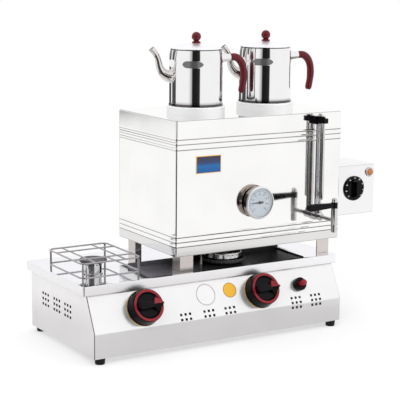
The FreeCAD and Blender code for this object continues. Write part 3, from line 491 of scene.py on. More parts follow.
class Tree:
    """A node tree that is written as sums."""

    def __init__(self, nodes):
        self.nodes = nodes.nodes
        self.links = nodes.links

    def join(self, value, socket):
        """Links a Value to a socket, or sets the socket to a number or colour."""
        if isinstance(value, Value):
            self.links.new(value.socket, socket)
        elif isinstance(value, tuple) and len(value) == 3 and socket.type == "RGBA":
            socket.default_value = (*value, 1.0)
        else:
            socket.default_value = value

    def node(self, kind, settings=None, inputs=None, output=0):
        """Adds a node. Its settings come first, and a ramp's stops start with its two ends."""
        made = self.nodes.new(kind)
        for name, value in (settings or {}).items():
            if name == "stops":
                ramp = made.color_ramp
                for index, (place, colour) in enumerate(value):
                    stop = ramp.elements[index] if index < 2 else ramp.elements.new(place)
                    stop.position = place
                    stop.color = (*colour, 1.0)
            else:
                setattr(made, name, value)
        for name, value in (inputs or {}).items():
            self.join(value, made.inputs[name])
        return None if output is None else Value(self, made.outputs[output])

    def maths(self, operation, first, second=0.0):
        return self.node("ShaderNodeMath", {"operation": operation}, {0: first, 1: second})

    def most(self, *values):
        """The largest of some values."""
        most = values[0]
        for value in values[1:]:
            most = self.maths("MAXIMUM", most, value)
        return most

    def mix(self, share, first, second):
        return self.node("ShaderNodeMix", {"data_type": "RGBA"}, {0: share, 6: first, 7: second}, 2)

    def between(self, value, low, high, to_low=0.0, to_high=1.0):
        """Eases from to_low to to_high while value goes from low to high."""
        return self.node("ShaderNodeMapRange", {"interpolation_type": "SMOOTHSTEP"},
                         {0: value, 1: low, 2: high, 3: to_low, 4: to_high})

    def axes(self, coordinates):
        split = self.node("ShaderNodeSeparateXYZ", inputs={0: coordinates})
        outputs = split.socket.node.outputs
        return [Value(self, outputs[index]) for index in range(3)]


class Paint(Tree):
    """A procedural material on the object's own coordinates, in metres."""

    def __init__(self, name, colour, roughness, metallic=0.0, **values):
        self.name = name
        self.material = bpy.data.materials.new(name)
        self.material.use_nodes = True
        super().__init__(self.material.node_tree)
        self.shader = self.material.node_tree.nodes["Principled BSDF"]
        self.place = self.node("ShaderNodeTexCoord", output="Object")
        self.clean = colour
        self.set("Base Color", colour)
        self.set("Roughness", roughness)
        self.set("Metallic", metallic)
        for key, value in values.items():
            self.set(key.replace("_", " "), value)

    def set(self, name, value):
        names = {socket.name.lower(): socket for socket in self.shader.inputs}
        self.join(value, names[name.lower()])

    def height(self):
        """Height above the ground in metres."""
        return self.axes(self.place)[2]

    def noise(self, scale, detail=3.0, stretch=no_grain):
        """A cloud pattern, stretched along an axis where its share is small."""
        where = self.node("ShaderNodeMapping", inputs={"Vector": self.place, "Scale": stretch})
        return self.node("ShaderNodeTexNoise", inputs={"Vector": where, "Scale": scale,
                                                       "Detail": detail})

    def within(self, away, line):
        """A line's share where away is below its first limit, 0 beyond its second."""
        near, far, share = line
        return self.between(away, near * MM, far * MM, share, 0.0)

    def bumped(self, height, strength, distance):
        self.set("Normal", self.node("ShaderNodeBump", inputs={
            "Height": height, "Strength": strength, "Distance": distance}))


def steel(name, colour, roughness, grain=no_grain, waviness=0.05, metallic=1.0):
    """Metal sheet: fine grain lines, soft smudges and a faint waviness."""
    paint = Paint(name, colour, roughness, metallic)
    lines = paint.noise(grain_scale, 2.0, grain)
    smudges = paint.noise(smudge_scale, 4.0)
    paint.set("Roughness", roughness * (1 + 0.25 * (lines - 0.5) + 0.3 * (smudges - 0.5)))
    darker = tuple(0.95 * part for part in colour)
    paint.clean = paint.mix(paint.between(smudges, 0.3, 0.8), colour, darker)
    paint.set("Base Color", paint.clean)
    waves = paint.noise(wave_scale, 1.0)
    paint.bumped(waves + 0.004 * lines, waviness, wavy_relief)
    return paint


def satin(name, colour, roughness, metallic):
    """Spun metal: fine level rings and a soft, uneven gloss."""
    paint = Paint(name, colour, roughness, metallic)
    rings = paint.noise(ring_scale, 2.0, level_rings)
    cloud = paint.noise(cloud_scale, 3.0)
    darker = tuple(0.93 * part for part in colour)
    paint.clean = paint.mix(cloud, colour, darker)
    paint.set("Base Color", paint.clean)
    paint.set("Roughness", roughness + 0.12 * (cloud - 0.5))
    paint.bumped(rings, 0.05, fine_relief)
    return paint


def moulded(name, colour, roughness, mottle=0.12, **values):
    """Moulded plastic: a fine pebble and worn, slightly paler patches."""
    paint = Paint(name, colour, roughness, 0.0, **values)
    pebble = paint.noise(pebble_scale, 2.0)
    wear = paint.noise(wear_scale, 5.0)
    paler = tuple(min(1.0, part * 1.5 + 0.003) for part in colour)
    paint.set("Base Color", paint.mix(paint.between(wear, 0.45, 0.85) * 0.5, colour, paler))
    paint.set("Roughness", roughness + mottle * (wear - 0.5))
    paint.bumped(pebble, 0.12, fine_relief)
    return paint


def cast(name, colour, roughness, metallic, grit=600.0):
    """Cast or enamelled iron: a sandy skin with uneven gloss."""
    paint = Paint(name, colour, roughness, metallic)
    sand = paint.noise(grit, 4.0)
    patches = paint.noise(patch_scale, 4.0)
    darker = tuple(0.7 * part for part in colour)
    paint.clean = paint.mix(patches, colour, darker)
    paint.set("Base Color", paint.clean)
    paint.set("Roughness", roughness + 0.2 * (patches - 0.5))
    paint.bumped(sand, 0.3, sandy_relief)
    return paint


def lined(paint, line, colour):
    """Gives a paint another colour where line is 1, as in a fold, on a rim or in a gap; mostly
    painted shade, with some painted sheen.
    """
    paint.set("Base Color", paint.mix(line, paint.clean, colour))
    return paint


def cabinet_paint():
    """The cabinet's steel, with painted shade along the folds at both ends of its panel and a
    painted shadow under the hob.
    """
    paint = steel("folded_steel", (0.90, 0.895, 0.90), 0.2, along_x, 0.05, 0.75)
    x, y, z = paint.axes(paint.place)
    y = y - cabinet_low.y * MM
    up = z - panel_bend_z * MM
    inside = y * (slope_rise / slope_length) - up * (slope_run / slope_length)
    depth = paint.maths("MINIMUM", y, inside).size()
    ends = (x.size() - cabinet_high.x * MM).size()
    # Painted shade: dark lines down the front corners, and a painted shadow under the hob's rim.
    fold = paint.within(paint.most(depth, ends), fold_shade_line)
    shade = paint.within(cabinet_high.z * MM - z, panel_shadow)
    return lined(paint, paint.most(fold, shade), (0.10, 0.09, 0.09))


def hob_paint():
    """The hob's mirror steel, satin on the lip that hangs down in front, where a paler colour is a
    painted sheen.
    """
    mirror, lip_roughness = 0.07, 0.3
    paint = steel("hob_steel", (0.89, 0.89, 0.93), mirror, along_x, 0.03)
    lip = paint.within(paint.height() - span("hob_top")[1].z * MM, hob_lip)
    paint.set("Roughness", mirror + (lip_roughness - mirror) * lip)
    # The lip's paler colour is a painted sheen.
    return lined(paint, lip, (0.975, 0.97, 0.985))


def tank_paint():
    """The tank's polished steel, with painted shade as dark lines in its corners, creases and lower
    edge.
    """
    paint = steel("beaded_steel", (0.965, 0.96, 0.95), 0.08, along_x)
    low, high = span("tank_shell")
    middle, half = (low + high) / 2 * MM, (high - low) / 2 * MM
    x, y, z = paint.axes(paint.place)
    ends = half.x - bead_height * MM - (x - middle.x).size()
    sides = half.y - bead_height * MM - (y - middle.y).size()
    # Painted shade: dark lines in the corners, under each bead, along the rim and at the foot.
    lines = [paint.within(paint.most(ends, sides), corner_shade_line)]
    for level in bead_levels(low.z, high.z):
        line = lower_bead_shade if level < (low.z + high.z) / 2 else upper_bead_shade
        lines.append(paint.within((z - (level - bead_shade_drop) * MM).size(), line))
    rim = (z - (high.z - tank_rim_drop) * MM).size()
    lines.append(paint.within(rim, tank_rim_shade))
    lines.append(paint.within(z - low.z * MM, tank_foot_shade))
    last = low.z + beads_above_bottom[0] - bead_width / 2
    lines.append(paint.within(z - last * MM, tank_foot_shade_band))
    return lined(paint, paint.most(*lines), (0.06, 0.055, 0.055))


def pot_paint():
    """The pots' steel: a drawn neck above a rounded shoulder, a dark base, a darker foot band and a
    painted shadow at the top of the rim.
    """
    paint = steel("pot_steel", (0.90, 0.90, 0.905), 0.05, along_z, 0.02)
    rise = paint.height() - span("pot_seats")[1].z * MM
    shoulder = paint.between(rise, shoulder_from * MM, shoulder_to * MM)
    drawn = paint.most(rise - neck_from * MM, 0.0) * (1.0 / (neck_length * MM))
    paint.bumped(neck_depth * drawn * drawn - neck_depth * shoulder, 1.0, MM)
    # Darker at the base and in the foot band above it; the dark line at the top of the rim, under
    # the lid, is painted shade.
    foot = paint.within(rise, pot_foot_band)
    ends = paint.most(rise < pot_foot_height * MM, rise > (pot_height - pot_rim_drop) * MM)
    return lined(paint, paint.most(foot, pot_ends_share * ends), (0.05, 0.042, 0.04))


def lid_paint():
    """The lids' satin steel, with a painted shadow as the dark line of the gap under the flange."""
    paint = satin("lid_steel", (0.96, 0.95, 0.985), 0.34, 0.8)
    rise = paint.height() - (span("pot_seats")[1].z + pot_height) * MM
    return lined(paint, paint.within(rise, lid_gap_shade), (0.10, 0.09, 0.10))


def case_paint():
    """The thermometer's case: a bright rim in front of a barrel painted darker and browner, a
    painted reflection.
    """
    barrel, rim_roughness = 0.12, 0.4
    # The barrel's dark, brown colour is a painted reflection.
    paint = steel("case_steel", (0.40, 0.33, 0.30), barrel, along_z_short, 0.02)
    y = paint.axes(paint.place)[1]
    rim = paint.within(y - span("thermometer_case")[0].y * MM, case_rim)
    paint.set("Roughness", paint.between(rim, 0.0, 1.0, barrel, rim_roughness))
    return lined(paint, rim, (0.96, 0.96, 0.98))


def box_paint():
    """The control box's steel, with painted shade as fine dark lines along its edges."""
    paint = steel("box_steel", (0.93, 0.925, 0.935), 0.2, along_x)
    low, high = span("control_box")
    reach = []
    for place, a, b in zip(paint.axes(paint.place), low * MM, high * MM):
        reach.append(paint.maths("MINIMUM", (place - a).size(), (place - b).size()))
    x, y, z = reach
    farther = paint.maths("MINIMUM", paint.most(x, y), z)
    second = paint.most(paint.maths("MINIMUM", x, y), farther)
    return lined(paint, paint.within(second, box_edge_shade), (0.2, 0.2, 0.21))


def bracket_paint():
    """Black plastic under plated nuts."""
    paint = Paint("bracket_black", (0.003, 0.002, 0.003), 0.3, Specular_IOR_Level=0.14)
    nuts = paint.height() > (span("gauge_bracket")[1].z - nut_height) * MM
    pebble = paint.noise(pebble_scale, 2.0)
    paint.set("Base Color", paint.mix(nuts, (0.004, 0.003, 0.004), (0.75, 0.74, 0.74)))
    paint.set("Metallic", nuts)
    paint.bumped(pebble, 0.1, fine_relief)
    return paint


def tray_paint():
    """Black enamel, with a painted sheen that makes it greyer towards the small burner."""
    paint = cast("enamel", (0.022, 0.022, 0.024), 0.22, 0.0, 250.0)
    x = paint.axes(paint.place)[0]
    return lined(paint, paint.within(x, tray_sheen), (0.16, 0.15, 0.17))


def glass_paint():
    """Glass with faint streaks of film on it."""
    clean, streaks = 0.03, 0.05
    paint = Paint("glass", (0.97, 0.98, 0.99), clean, Transmission_Weight=1.0, IOR=1.45)
    film = paint.noise(25.0, 4.0)
    paint.set("Roughness", clean + streaks * paint.between(film, 0.5, 0.9))
    return paint


def plate_paint():
    """A blank blue plate, with a painted reflection in bands from bright blue at the foot to navy
    at the top.
    """
    paint = Paint("blue_plate", (0.02, 0.05, 0.2), 0.18)
    low, high = name_plate_z
    fall = paint.between(paint.height(), low * MM, high * MM)
    bands = paint.node("ShaderNodeValToRGB", {"stops": (
        (0.0, (0.0, 0.10, 0.36)), (1.0, (0.035, 0.03, 0.06)), (0.38, (0.0, 0.15, 0.42)),
        (0.62, (0.02, 0.05, 0.16)))}, {0: fall})
    specks = paint.noise(300.0, 3.0)
    paint.set("Base Color", paint.mix(0.25 * specks, bands, (0.02, 0.03, 0.08)))
    return paint


def make_paints():
    """The materials of all looks, by name. Each paint has its colour, then its roughness."""
    paints = (
        cabinet_paint(), hob_paint(), tank_paint(), pot_paint(), lid_paint(), case_paint(),
        box_paint(), bracket_paint(), tray_paint(), plate_paint(), glass_paint(),
        steel("cabinet_steel", (0.90, 0.895, 0.90), 0.2, along_x),
        steel("polished_steel", (0.965, 0.96, 0.95), 0.08, along_x),
        steel("bright_steel", (0.90, 0.90, 0.905), 0.05, along_z, 0.02),
        steel("leg_steel", (0.72, 0.66, 0.64), 0.3, along_z, 0.02),
        steel("spout_steel", (0.76, 0.73, 0.715), 0.08, along_z_short, 0.02),
        # plated_metal is painted a darker grey than chrome: painted shade for its dark reflections.
        steel("plated_metal", (0.66, 0.65, 0.65), 0.1, along_z_short, 0.02),
        # The wire's dark grey colour is painted shade for the chrome's dark undersides.
        steel("wire", (0.42, 0.40, 0.42), 0.16, along_z_short, 0.02),
        steel("brass", (0.78, 0.58, 0.27), 0.25, along_z_shortest),
        steel("gold_foil", (0.98, 0.56, 0.07), 0.35),
        steel("dark_foil", (0.50, 0.27, 0.06), 0.35),
        satin("matt_steel", (0.99, 0.99, 1.0), 0.5, 0.3),
        # dull_steel's near-black colour, on the cabinet's inner faces and vent rims, is painted
        # shade.
        cast("dull_steel", (0.05, 0.05, 0.05), 0.6, 0.5, 800.0),
        cast("burner_black", (0.03, 0.03, 0.032), 0.4, 0.0),
        cast("alloy", (0.6, 0.6, 0.61), 0.4, 1.0, 800.0),
        moulded("black_plastic", (0.003, 0.002, 0.003), 0.2, 0.08, Specular_IOR_Level=0.14),
        moulded("red_plastic", (0.24, 0.012, 0.02), 0.25, 0.1, Specular_IOR_Level=0.3),
        moulded("dark_red_plastic", (0.115, 0.005, 0.012), 0.22, 0.1, Specular_IOR_Level=0.35),
        moulded("rubber", (0.006, 0.006, 0.006), 0.45, Specular_IOR_Level=0.25),
        moulded("ceramic", (0.82, 0.8, 0.75), 0.3),
        moulded("amber_lens", (0.50, 0.17, 0.03), 0.2, 0.1),
        moulded("dial_face", (0.86, 0.94, 1.0), 0.35),
        moulded("pointer_black", (0.02, 0.02, 0.022), 0.35),
        moulded("white_plastic", (0.8, 0.8, 0.78), 0.4))
    return {paint.name: paint.material for paint in paints}


# Stage

def make_camera():
    level = math.cos(camera_elevation)
    back = Vector((math.sin(camera_azimuth) * level, -math.cos(camera_azimuth) * level,
                   math.sin(camera_elevation)))
    right = (-back).cross(UP).normalized()
    up = right.cross(-back)
    rolled_right = right * math.cos(camera_roll) + up * math.sin(camera_roll)
    rolled_up = up * math.cos(camera_roll) - right * math.sin(camera_roll)
    lens = bpy.data.cameras.new("camera")
    lens.sensor_width = sensor_width
    lens.lens = focal_length_px * sensor_width / photo_width_px
    lens.clip_end = 100.0
    camera = bpy.data.objects.new("camera", lens)
    bpy.context.scene.collection.objects.link(camera)
    turn = Matrix((rolled_right, rolled_up, back)).transposed().to_4x4()
    camera.matrix_world = Matrix.Translation((camera_target + back * camera_distance) * MM) @ turn
    bpy.context.scene.camera = camera


def light_rays(tree):
    """One output of the Light Path node for each kind of ray that shows the backdrop."""
    outputs = tree.node("ShaderNodeLightPath").socket.node.outputs
    seen = Value(tree, outputs["Is Camera Ray"])
    glossy = Value(tree, outputs["Is Glossy Ray"])
    through = Value(tree, outputs["Is Transmission Ray"])
    return seen, glossy, through


def make_world():
    """White where it is seen. Metal mirrors a white studio with a few dark cards in it."""
    world = bpy.data.worlds.new("studio")
    world.use_nodes = True
    bpy.context.scene.world = world
    tree = Tree(world.node_tree)
    seen, glossy, through = light_rays(tree)
    heading = tree.node("ShaderNodeTexCoord", output="Generated")
    x, y, z = tree.axes(heading)
    azimuth = tree.node("ShaderNodeMath", {"operation": "ARCTAN2"}, {0: x, 1: 0.0 - y})

    def card(middle, half, soft):
        """1 within half of a middle azimuth, with soft sides."""
        middle, half, soft = (math.radians(value) for value in (middle, half, soft))
        away = tree.node("ShaderNodeMath", {"operation": "WRAP"},
                         {0: azimuth - middle, 1: math.pi, 2: -math.pi})
        return tree.between(away.size(), half - soft, half + soft, 1.0, 0.0)

    pot_sides = tree.between(z, *pot_side_foot) * (z < 0.0)
    backs = tree.between(z, *back_top, 1.0, 0.0) * tree.between(z, *back_foot)
    shoulder = card(*shoulder_card)
    shoulder_height = (z > shoulder_foot - shoulder_foot * shoulder) * (z < shoulder_top)
    dark = tree.most(
        strip_darkness * card(*strip_card) * (z < 0.0),
        shoulder_darkness * shoulder_height * (shoulder > shoulder_least),
        back_darkness * backs * tree.most(card(*side_card), card(*rear_card),
                                          card(*pot_side_card) * pot_sides),
        low_darkness * card(*low_card) * tree.between(z, *low_top, 1.0, 0.0),
        ground_darkness * tree.between(z, *ground_top, 1.0, 0.0))
    shade = 1 - shade_darkness * card(*shade_card)
    ceiling = 1 - ceiling_darkness * tree.between(z, *ceiling_foot)
    mirrored = (1 - dark) * shade * ceiling
    soft = tree.between(z, *soft_light_heights, *soft_light_strengths)
    white = (seen + through) > 0.5
    strength = white + (1 - white) * (glossy * mirrored + (1 - glossy) * soft)
    background = world.node_tree.nodes["Background"]
    background.inputs["Color"].default_value = (1, 1, 1, 1)
    tree.links.new(strength.socket, background.inputs["Strength"])


def make_floor():
    """A pale disc that keeps the shadow and goes over into the white backdrop."""
    bm = bmesh.new()
    bmesh.ops.create_circle(bm, cap_ends=True, segments=128, radius=floor_radius * MM)
    mesh = bpy.data.meshes.new("floor")
    bm.to_mesh(mesh)
    bm.free()
    floor = bpy.data.objects.new("floor", mesh)
    bpy.context.scene.collection.objects.link(floor)
    material = bpy.data.materials.new("floor")
    material.use_nodes = True
    material.node_tree.nodes.clear()
    tree = Tree(material.node_tree)
    seen, glossy, through = light_rays(tree)
    place = tree.node("ShaderNodeTexCoord", output="Object")
    reach = tree.node("ShaderNodeVectorMath", {"operation": "LENGTH"}, {0: place}, "Value")

    def over(value, limits, *values):
        return tree.between(value, limits[0] * MM, limits[1] * MM, *values)

    far = over(reach, floor_white, floor_share_of_white, 1.0)
    diffuse = tree.node("ShaderNodeBsdfDiffuse", inputs={"Color": floor_colour})
    white = tree.node("ShaderNodeEmission", inputs={"Color": (1.0, 1.0, 1.0), "Strength": 1.0})
    shown = tree.node("ShaderNodeMixShader", inputs={
        0: far * ((seen + through) > 0.5), 1: diffuse, 2: white})
    # Metal sees the floor as a glow, with painted shade that makes it greyer in front of the
    # object.
    ahead = over(tree.axes(place)[1], mirrored_floor_front, *mirrored_floor_strength)
    grey = tree.node("ShaderNodeEmission", inputs={
        "Color": mirrored_floor_colour,
        "Strength": ahead + over(reach, mirrored_floor_far, 0.0, mirrored_floor_far_gain)})
    open_air = tree.node("ShaderNodeBsdfTransparent")
    edge = over(reach, mirrored_floor_edge)
    mirrored = tree.node("ShaderNodeMixShader", inputs={0: edge, 1: grey, 2: open_air})
    mixed = tree.node("ShaderNodeMixShader", inputs={0: glossy, 1: shown, 2: mirrored})
    tree.node("ShaderNodeOutputMaterial", inputs={"Surface": mixed}, output=None)
    mesh.materials.append(material)


def make_lamps():
    """Soft lamps that metal doesn't mirror as bright squares."""
    for name, (spot, size, power) in lamps.items():
        lamp = bpy.data.lights.new(name, "AREA")
        lamp.size = size
        lamp.energy = power
        thing = bpy.data.objects.new(name, lamp)
        bpy.context.scene.collection.objects.link(thing)
        base = Vector(spot) * MM
        aim = base - camera_target * MM
        turn = aim.to_track_quat("Z", "Y").to_matrix().to_4x4()
        thing.matrix_world = Matrix.Translation(base) @ turn
        thing.visible_glossy = False


# Sheet metal pieces

def sliced(bm, chosen, point, normal):
    """Cuts the chosen faces along a plane."""
    faces = [face for face in bm.faces if chosen(face)]
    edges = {edge for face in faces for edge in face.edges}
    verts = {vert for face in faces for vert in face.verts}
    bmesh.ops.bisect_plane(bm, geom=faces + list(edges) + list(verts), dist=0.0001,
                           plane_co=point, plane_no=normal)


def cut_away(bm, chosen):
    """Removes the chosen faces."""
    bmesh.ops.delete(bm, geom=[face for face in bm.faces if chosen(face)], context="FACES")


def front_windows():
    """The square openings of the panel, as (x, x, s, s): vents, and holes behind the bezels."""
    windows = []
    half = vent_size / 2
    for group, rows in vent_groups:
        for column in range(vent_columns):
            x = group + column * vent_pitch_x
            for row in range(rows):
                s = vent_first_row - row * vent_pitch_s
                windows.append((x - half, x + half, s - half, s + half))
    half = spindle_hole / 2
    holes = [(x, knob_up_slope) for x in gas_knob_x.values()] + [(igniter_x, igniter_up_slope)]
    for x, s in holes:
        windows.append((x - half, x + half, s - half, s + half))
    return windows


# The inner faces and the vents' rims take a near-black paint, as painted shade.
def make_cabinet(paint, inner):
    (x0, y0, z0), (x1, y1, z1) = cabinet_low, cabinet_high
    bm = bmesh.new()
    side = [(y0, z0), (y0, panel_bend_z), (y0 + slope_run, z1), (y1, z1), (y1, z0)]
    end = bm.faces.new([bm.verts.new((x0, y, z)) for y, z in side])
    grown = bmesh.ops.extrude_face_region(bm, geom=[end])["geom"]
    bmesh.ops.translate(bm, vec=(x1 - x0, 0, 0),
                        verts=[item for item in grown if isinstance(item, bmesh.types.BMVert)])
    merged(bm)
    cut_away(bm, lambda face: abs(face.normal.z) > 0.99)
    softened(bm, *cabinet_fold)

    def is_front(face):
        return face.normal.y < -0.5 and abs(face.normal.x) < 0.1

    windows = front_windows()
    for x in sorted({edge for window in windows for edge in window[:2]}):
        sliced(bm, is_front, (x, 0, 0), RIGHT)
    for s in sorted({edge for window in windows for edge in window[2:]}):
        if s > 0:
            sliced(bm, is_front, sloped(0, s), slope_up)
        else:
            sliced(bm, is_front, (0, 0, panel_bend_z + s), UP)

    def height_on_panel(point):
        along = (point - sloped(0, 0)).dot(slope_up)
        return along if along > 0 else point.z - panel_bend_z

    def in_window(face):
        if not is_front(face):
            return False
        middle = face.calc_center_median()
        s = height_on_panel(middle)
        return any(a < middle.x < b and c < s < d for a, b, c, d in windows)

    cut_away(bm, in_window)

    def is_end(face):
        return abs(face.normal.x) > 0.99

    slots_y = [group + column * side_vent_pitch_y
               for group in side_vent_groups_y for column in (-1, 0, 1)]
    slots_z = [side_vent_top - row * side_vent_pitch_z for row in range(side_vent_rows)]
    for y in slots_y:
        for edge in (y - side_vent_length / 2, y + side_vent_length / 2):
            sliced(bm, is_end, (0, edge, 0), BACK)
    for z in slots_z:
        for edge in (z - side_vent_height / 2, z + side_vent_height / 2):
            sliced(bm, is_end, (0, 0, edge), UP)

    def in_slot(face):
        middle = face.calc_center_median()
        return (is_end(face) and any(abs(middle.y - y) < side_vent_length / 2 for y in slots_y)
                and any(abs(middle.z - z) < side_vent_height / 2 for z in slots_z))

    cut_away(bm, in_slot)
    thing = piece("cabinet", bm, "stove", paint, "cabinet_steel", "stove_cabinet")
    walled(thing, inner)


def make_hob(paint):
    (x0, y0, z0), (x1, y1, z1) = span("hob_top")
    tray_low, tray_high = span("drip_tray")
    bm = bmesh.new()
    bm.faces.new([bm.verts.new(spot) for spot in
                  ((x0, y0, z1), (x1, y0, z1), (x1, y1, z1), (x0, y1, z1))])
    rounded_corners(bm, bm.verts[:], hob_corner, hob_corner_segments)
    bmesh.ops.inset_region(bm, faces=bm.faces[:], thickness=hob_rim_width - hob_rim_slope)
    basin = max(bm.faces, key=lambda face: face.calc_area())
    bmesh.ops.inset_region(bm, faces=[basin], thickness=hob_rim_slope, depth=0)
    bmesh.ops.translate(bm, vec=(0, 0, -hob_rim_step), verts=basin.verts[:])
    bm.faces.ensure_lookup_table()
    outer = [edge for edge in bm.edges if edge.is_boundary]
    grown = bmesh.ops.extrude_edge_only(bm, edges=outer)["geom"]
    verts = [item for item in grown if isinstance(item, bmesh.types.BMVert)]
    bmesh.ops.translate(bm, vec=(0, 0, z0 - z1), verts=verts)
    edges = [item for item in grown if isinstance(item, bmesh.types.BMEdge)]
    grown = bmesh.ops.extrude_edge_only(bm, edges=edges)["geom"]
    middle = Vector(((x0 + x1) / 2, (y0 + y1) / 2, 0))
    for vert in [item for item in grown if isinstance(item, bmesh.types.BMVert)]:
        away = vert.co - middle
        vert.co.x -= math.copysign(hob_return, away.x)
        vert.co.y -= math.copysign(hob_return, away.y)
    bmesh.ops.recalc_face_normals(bm, faces=bm.faces[:])
    well_x = (tray_low.x + tray_lap, tray_high.x - tray_lap)
    well_y = (tray_low.y + tray_lap, tray_high.y - tray_lap)

    def is_basin(face):
        return abs(face.calc_center_median().z - (z1 - hob_rim_step)) < 0.01

    for x in well_x:
        sliced(bm, is_basin, (x, 0, 0), RIGHT)
    for y in well_y:
        sliced(bm, is_basin, (0, y, 0), BACK)

    def in_well(face):
        spot = face.calc_center_median()
        return (is_basin(face) and well_x[0] < spot.x < well_x[1]
                and well_y[0] < spot.y < well_y[1])

    cut_away(bm, in_well)
    softened(bm, *hob_edge)
    walled(piece("hob", bm, "stove", paint, "cabinet_steel", "hob_top"))


def bead_levels(low, high):
    """The middles of the tank's beads, from the lowest up."""
    return ([low + rise for rise in beads_above_bottom]
            + [high - drop for drop in reversed(beads_below_top)])


def bead_steps(level):
    """A round bead in the wall, as (outwards, height) points."""
    half = bead_width / 2
    shares = [step / 4 for step in range(-4, 5)]
    return [(bead_height * (0.5 + 0.5 * math.cos(math.pi * share)), level + half * share)
            for share in shares]


def make_tank(paint):
    low, high = span("tank_shell")
    x0, x1 = low.x + bead_height, high.x - bead_height
    y0, y1 = low.y + bead_height, high.y - bead_height
    z0, z1 = low.z, high.z
    steps = [(0.0, z0)]
    for level in bead_levels(z0, z1):
        steps += bead_steps(level)
    for turn in range(0, 91, 18):
        across, up = math.cos(math.radians(turn)), math.sin(math.radians(turn))
        steps.append((tank_edge * (across - 1), z1 - tank_edge * (1 - up)))
    bm = bmesh.new()
    verts = [bm.verts.new(spot) for spot in
             ((x0, y0, z0), (x1, y0, z0), (x1, y1, z0), (x0, y1, z0))]
    bm.faces.new(verts)
    rounded_corners(bm, verts, tank_corner, tank_corner_segments)
    start = bm.faces[:][0]
    ring = list(start.verts)
    middle = Vector(((x0 + x1) / 2, (y0 + y1) / 2, 0))
    corner_x, corner_y = (x1 - x0) / 2 - tank_corner, (y1 - y0) / 2 - tank_corner
    outward = []
    for vert in ring:
        away = vert.co - middle
        flat = Vector((max(-corner_x, min(corner_x, away.x)),
                       max(-corner_y, min(corner_y, away.y)), 0))
        heading = Vector((away.x, away.y, 0)) - flat
        outward.append((Vector((vert.co.x, vert.co.y, 0)), heading.normalized()))
    rows = []
    for out, z in steps:
        rows.append([bm.verts.new(spot + heading * out + Vector((0, 0, z)))
                     for spot, heading in outward])
    for below, above in zip(rows, rows[1:]):
        for index in range(len(ring)):
            after = (index + 1) % len(ring)
            bm.faces.new((below[index], below[after], above[after], above[index]))
    bmesh.ops.delete(bm, geom=[start], context="FACES")
    loose = [vert for vert in bm.verts if not vert.link_faces]
    bmesh.ops.delete(bm, geom=loose, context="VERTS")
    bmesh.ops.recalc_face_normals(bm, faces=bm.faces[:])
    walled(piece("tank_walls", bm, "tank", paint, "polished_steel", "tank_shell"))


# Marks and plates

def make_marks(paints):
    """An embossed ring, a plain foil disc with a darker rim, and a blank plate."""
    x, s, radius = ring_mark
    ring = turned([(radius + out, height) for out, height in ring_profile], mark_steps)
    piece("ring_mark", on_slope(ring, x, s), "stove", paints["leg_steel"], "cabinet_steel")
    x, s, radius = gold_mark
    inner = radius - gold_disc_margin
    disc = turned([(0, 0), (inner, 0), (inner, foil), (0, foil)], mark_steps)
    piece("gold_mark", on_slope(disc, x, s), "stove", paints["gold_foil"], "cabinet_steel")
    rim = turned([(radius + out, height) for out, height in gold_rim_profile], mark_steps)
    piece("gold_mark_rim", on_slope(rim, x, s), "stove", paints["dark_foil"], "cabinet_steel")
    front = span("tank_shell")[0].y + bead_height

    def plate(border, depths):
        """A board on the tank's front, a border inside the plate's outline."""
        (x0, x1), (z0, z1), (out, back) = name_plate_x, name_plate_z, depths
        return block((x0 + border, x1 - border), (front - out, front - back),
                     (z0 + border, z1 - border))

    board = plate(0.0, plate_frame_depth)
    softened(board, *plate_edge)
    piece("plate_frame", board, "tank", paints["gold_foil"], "polished_steel")
    field = plate(plate_border, plate_field_depth)
    piece("blank_plate", field, "tank", paints["blue_plate"], "polished_steel")


def scale_numbers(values, radius, rise, thickness):
    """Numbers spread evenly over a scale, clockwise from its lower left end."""
    numbers = []
    for index, value in enumerate(values):
        turn = math.radians(scale_start - index * scale_sweep / (len(values) - 1))
        number = lettering(str(value), thickness)
        bmesh.ops.translate(number, verts=number.verts[:],
                            vec=(radius * math.cos(turn), radius * math.sin(turn), rise))
        numbers.append(number)
    return numbers


def make_dial_print(paint):
    """Plain ticks and numbers round the thermometer's plate."""
    low, high = span("thermometer_dial")
    middle = (low + high) / 2
    prints = []
    for index in range(dial_divisions + 1):
        turn = math.radians(scale_start - index * scale_sweep / dial_divisions)
        start, half = short_tick_from, short_tick_half
        if index % dial_divisions_per_long_tick == 0:
            start, half = long_tick_from, long_tick_half
        tick = block((start, dial_radius), (-half, half), (0, dial_print_height))
        bmesh.ops.rotate(tick, cent=(0, 0, 0), matrix=Matrix.Rotation(turn, 3, "Z"),
                         verts=tick.verts[:])
        prints.append(tick)
    prints += scale_numbers(dial_numbers, dial_number_radius, 0.0, dial_print_height)
    marks = placed(joined(prints), Vector((middle.x, low.y - dial_gap, middle.z)), FRONT)
    piece("dial_marks", marks, "tank", paint, "dial_face")


def make_knob_print(paint):
    """Plain numbers round the thermostat knob's skirt."""
    front = span("control_box")[0].y
    numbers = scale_numbers(skirt_numbers, skirt_radius, skirt_rise, skirt_print_height)
    marks = placed(joined(numbers), Vector((thermostat_x, front, thermostat_z)), FRONT)
    piece("thermostat_numbers", marks, "thermostat_knob", paint, "black_plastic")


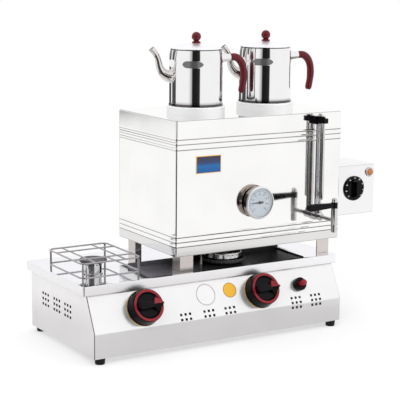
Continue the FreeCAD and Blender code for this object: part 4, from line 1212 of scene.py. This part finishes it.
def make_arrows(paint):
    """A red skin on the upper face of each knob's arrowhead."""
    for side, x in gas_knob_x.items():
        bm = bmesh.new()
        lower = [bm.verts.new(corner) for corner in arrow_face]
        face = bm.faces.new(lower)
        face.normal_update()
        if face.normal.y < 0:
            face.normal_flip()
        normal = face.normal.copy()
        bmesh.ops.inset_region(bm, faces=[face], thickness=arrow_margin, depth=0.0)
        bmesh.ops.delete(bm, geom=[other for other in bm.faces if other is not face],
                         context="FACES")
        grown = bmesh.ops.extrude_face_region(bm, geom=[face])["geom"]
        raised = [item for item in grown if isinstance(item, bmesh.types.BMVert)]
        bmesh.ops.translate(bm, vec=normal * arrow_skin, verts=raised)
        low = [vert for vert in bm.verts if vert not in raised]
        bmesh.ops.translate(bm, vec=normal * -arrow_skin, verts=low)
        merged(bm)
        piece(side + "_arrow", on_slope(bm, x, knob_up_slope), side + "_gas_knob", paint,
              "red_plastic", crease=arrow_crease)


def make_bands(paints):
    """Red bands round the knobs' faces and gold lines round the bezels."""
    for side, x in gas_knob_x.items():
        low, high = (knob_front - depth for depth in band_depths)
        band = turned([(band_inner, low), (band_inner, high),
                       (band_outer, high), (band_outer, low)])
        piece(side + "_band", on_slope(band, x, knob_up_slope), side + "_gas_knob",
              paints["red_plastic"], "red_plastic")
        (inner, outer), (low, high) = bezel_line, bezel_line_out
        line = turned([(inner, low), (inner, high), (outer, high), (outer, low)])
        piece(side + "_bezel_line", on_slope(line, x, knob_up_slope), "stove",
              paints["gold_foil"], "plated_metal")


def make_object(paints):
    make_cabinet(paints["folded_steel"], paints["dull_steel"])
    make_hob(paints["hob_steel"])
    make_tank(paints["beaded_steel"])
    make_marks(paints)
    make_dial_print(paints["pointer_black"])
    make_bands(paints)
    make_arrows(paints["red_plastic"])
    make_knob_print(paints["white_plastic"])
    slots = {part["node"]: part["material_slot"] for part in frame["record"]["subparts"]}
    replaced = ("stove_cabinet", "hob_top", "tank_shell")
    for node in sorted(frame["nodes"]):
        if node not in replaced:
            own = (look for ending, look in looks.items() if node.endswith(ending))
            finished(node, paints[next(own, slots[node])])


def main():
    make_camera()
    make_world()
    make_floor()
    make_lamps()
    make_object(make_paints())
    bpy.context.scene.view_settings.view_transform = "Standard"


main()
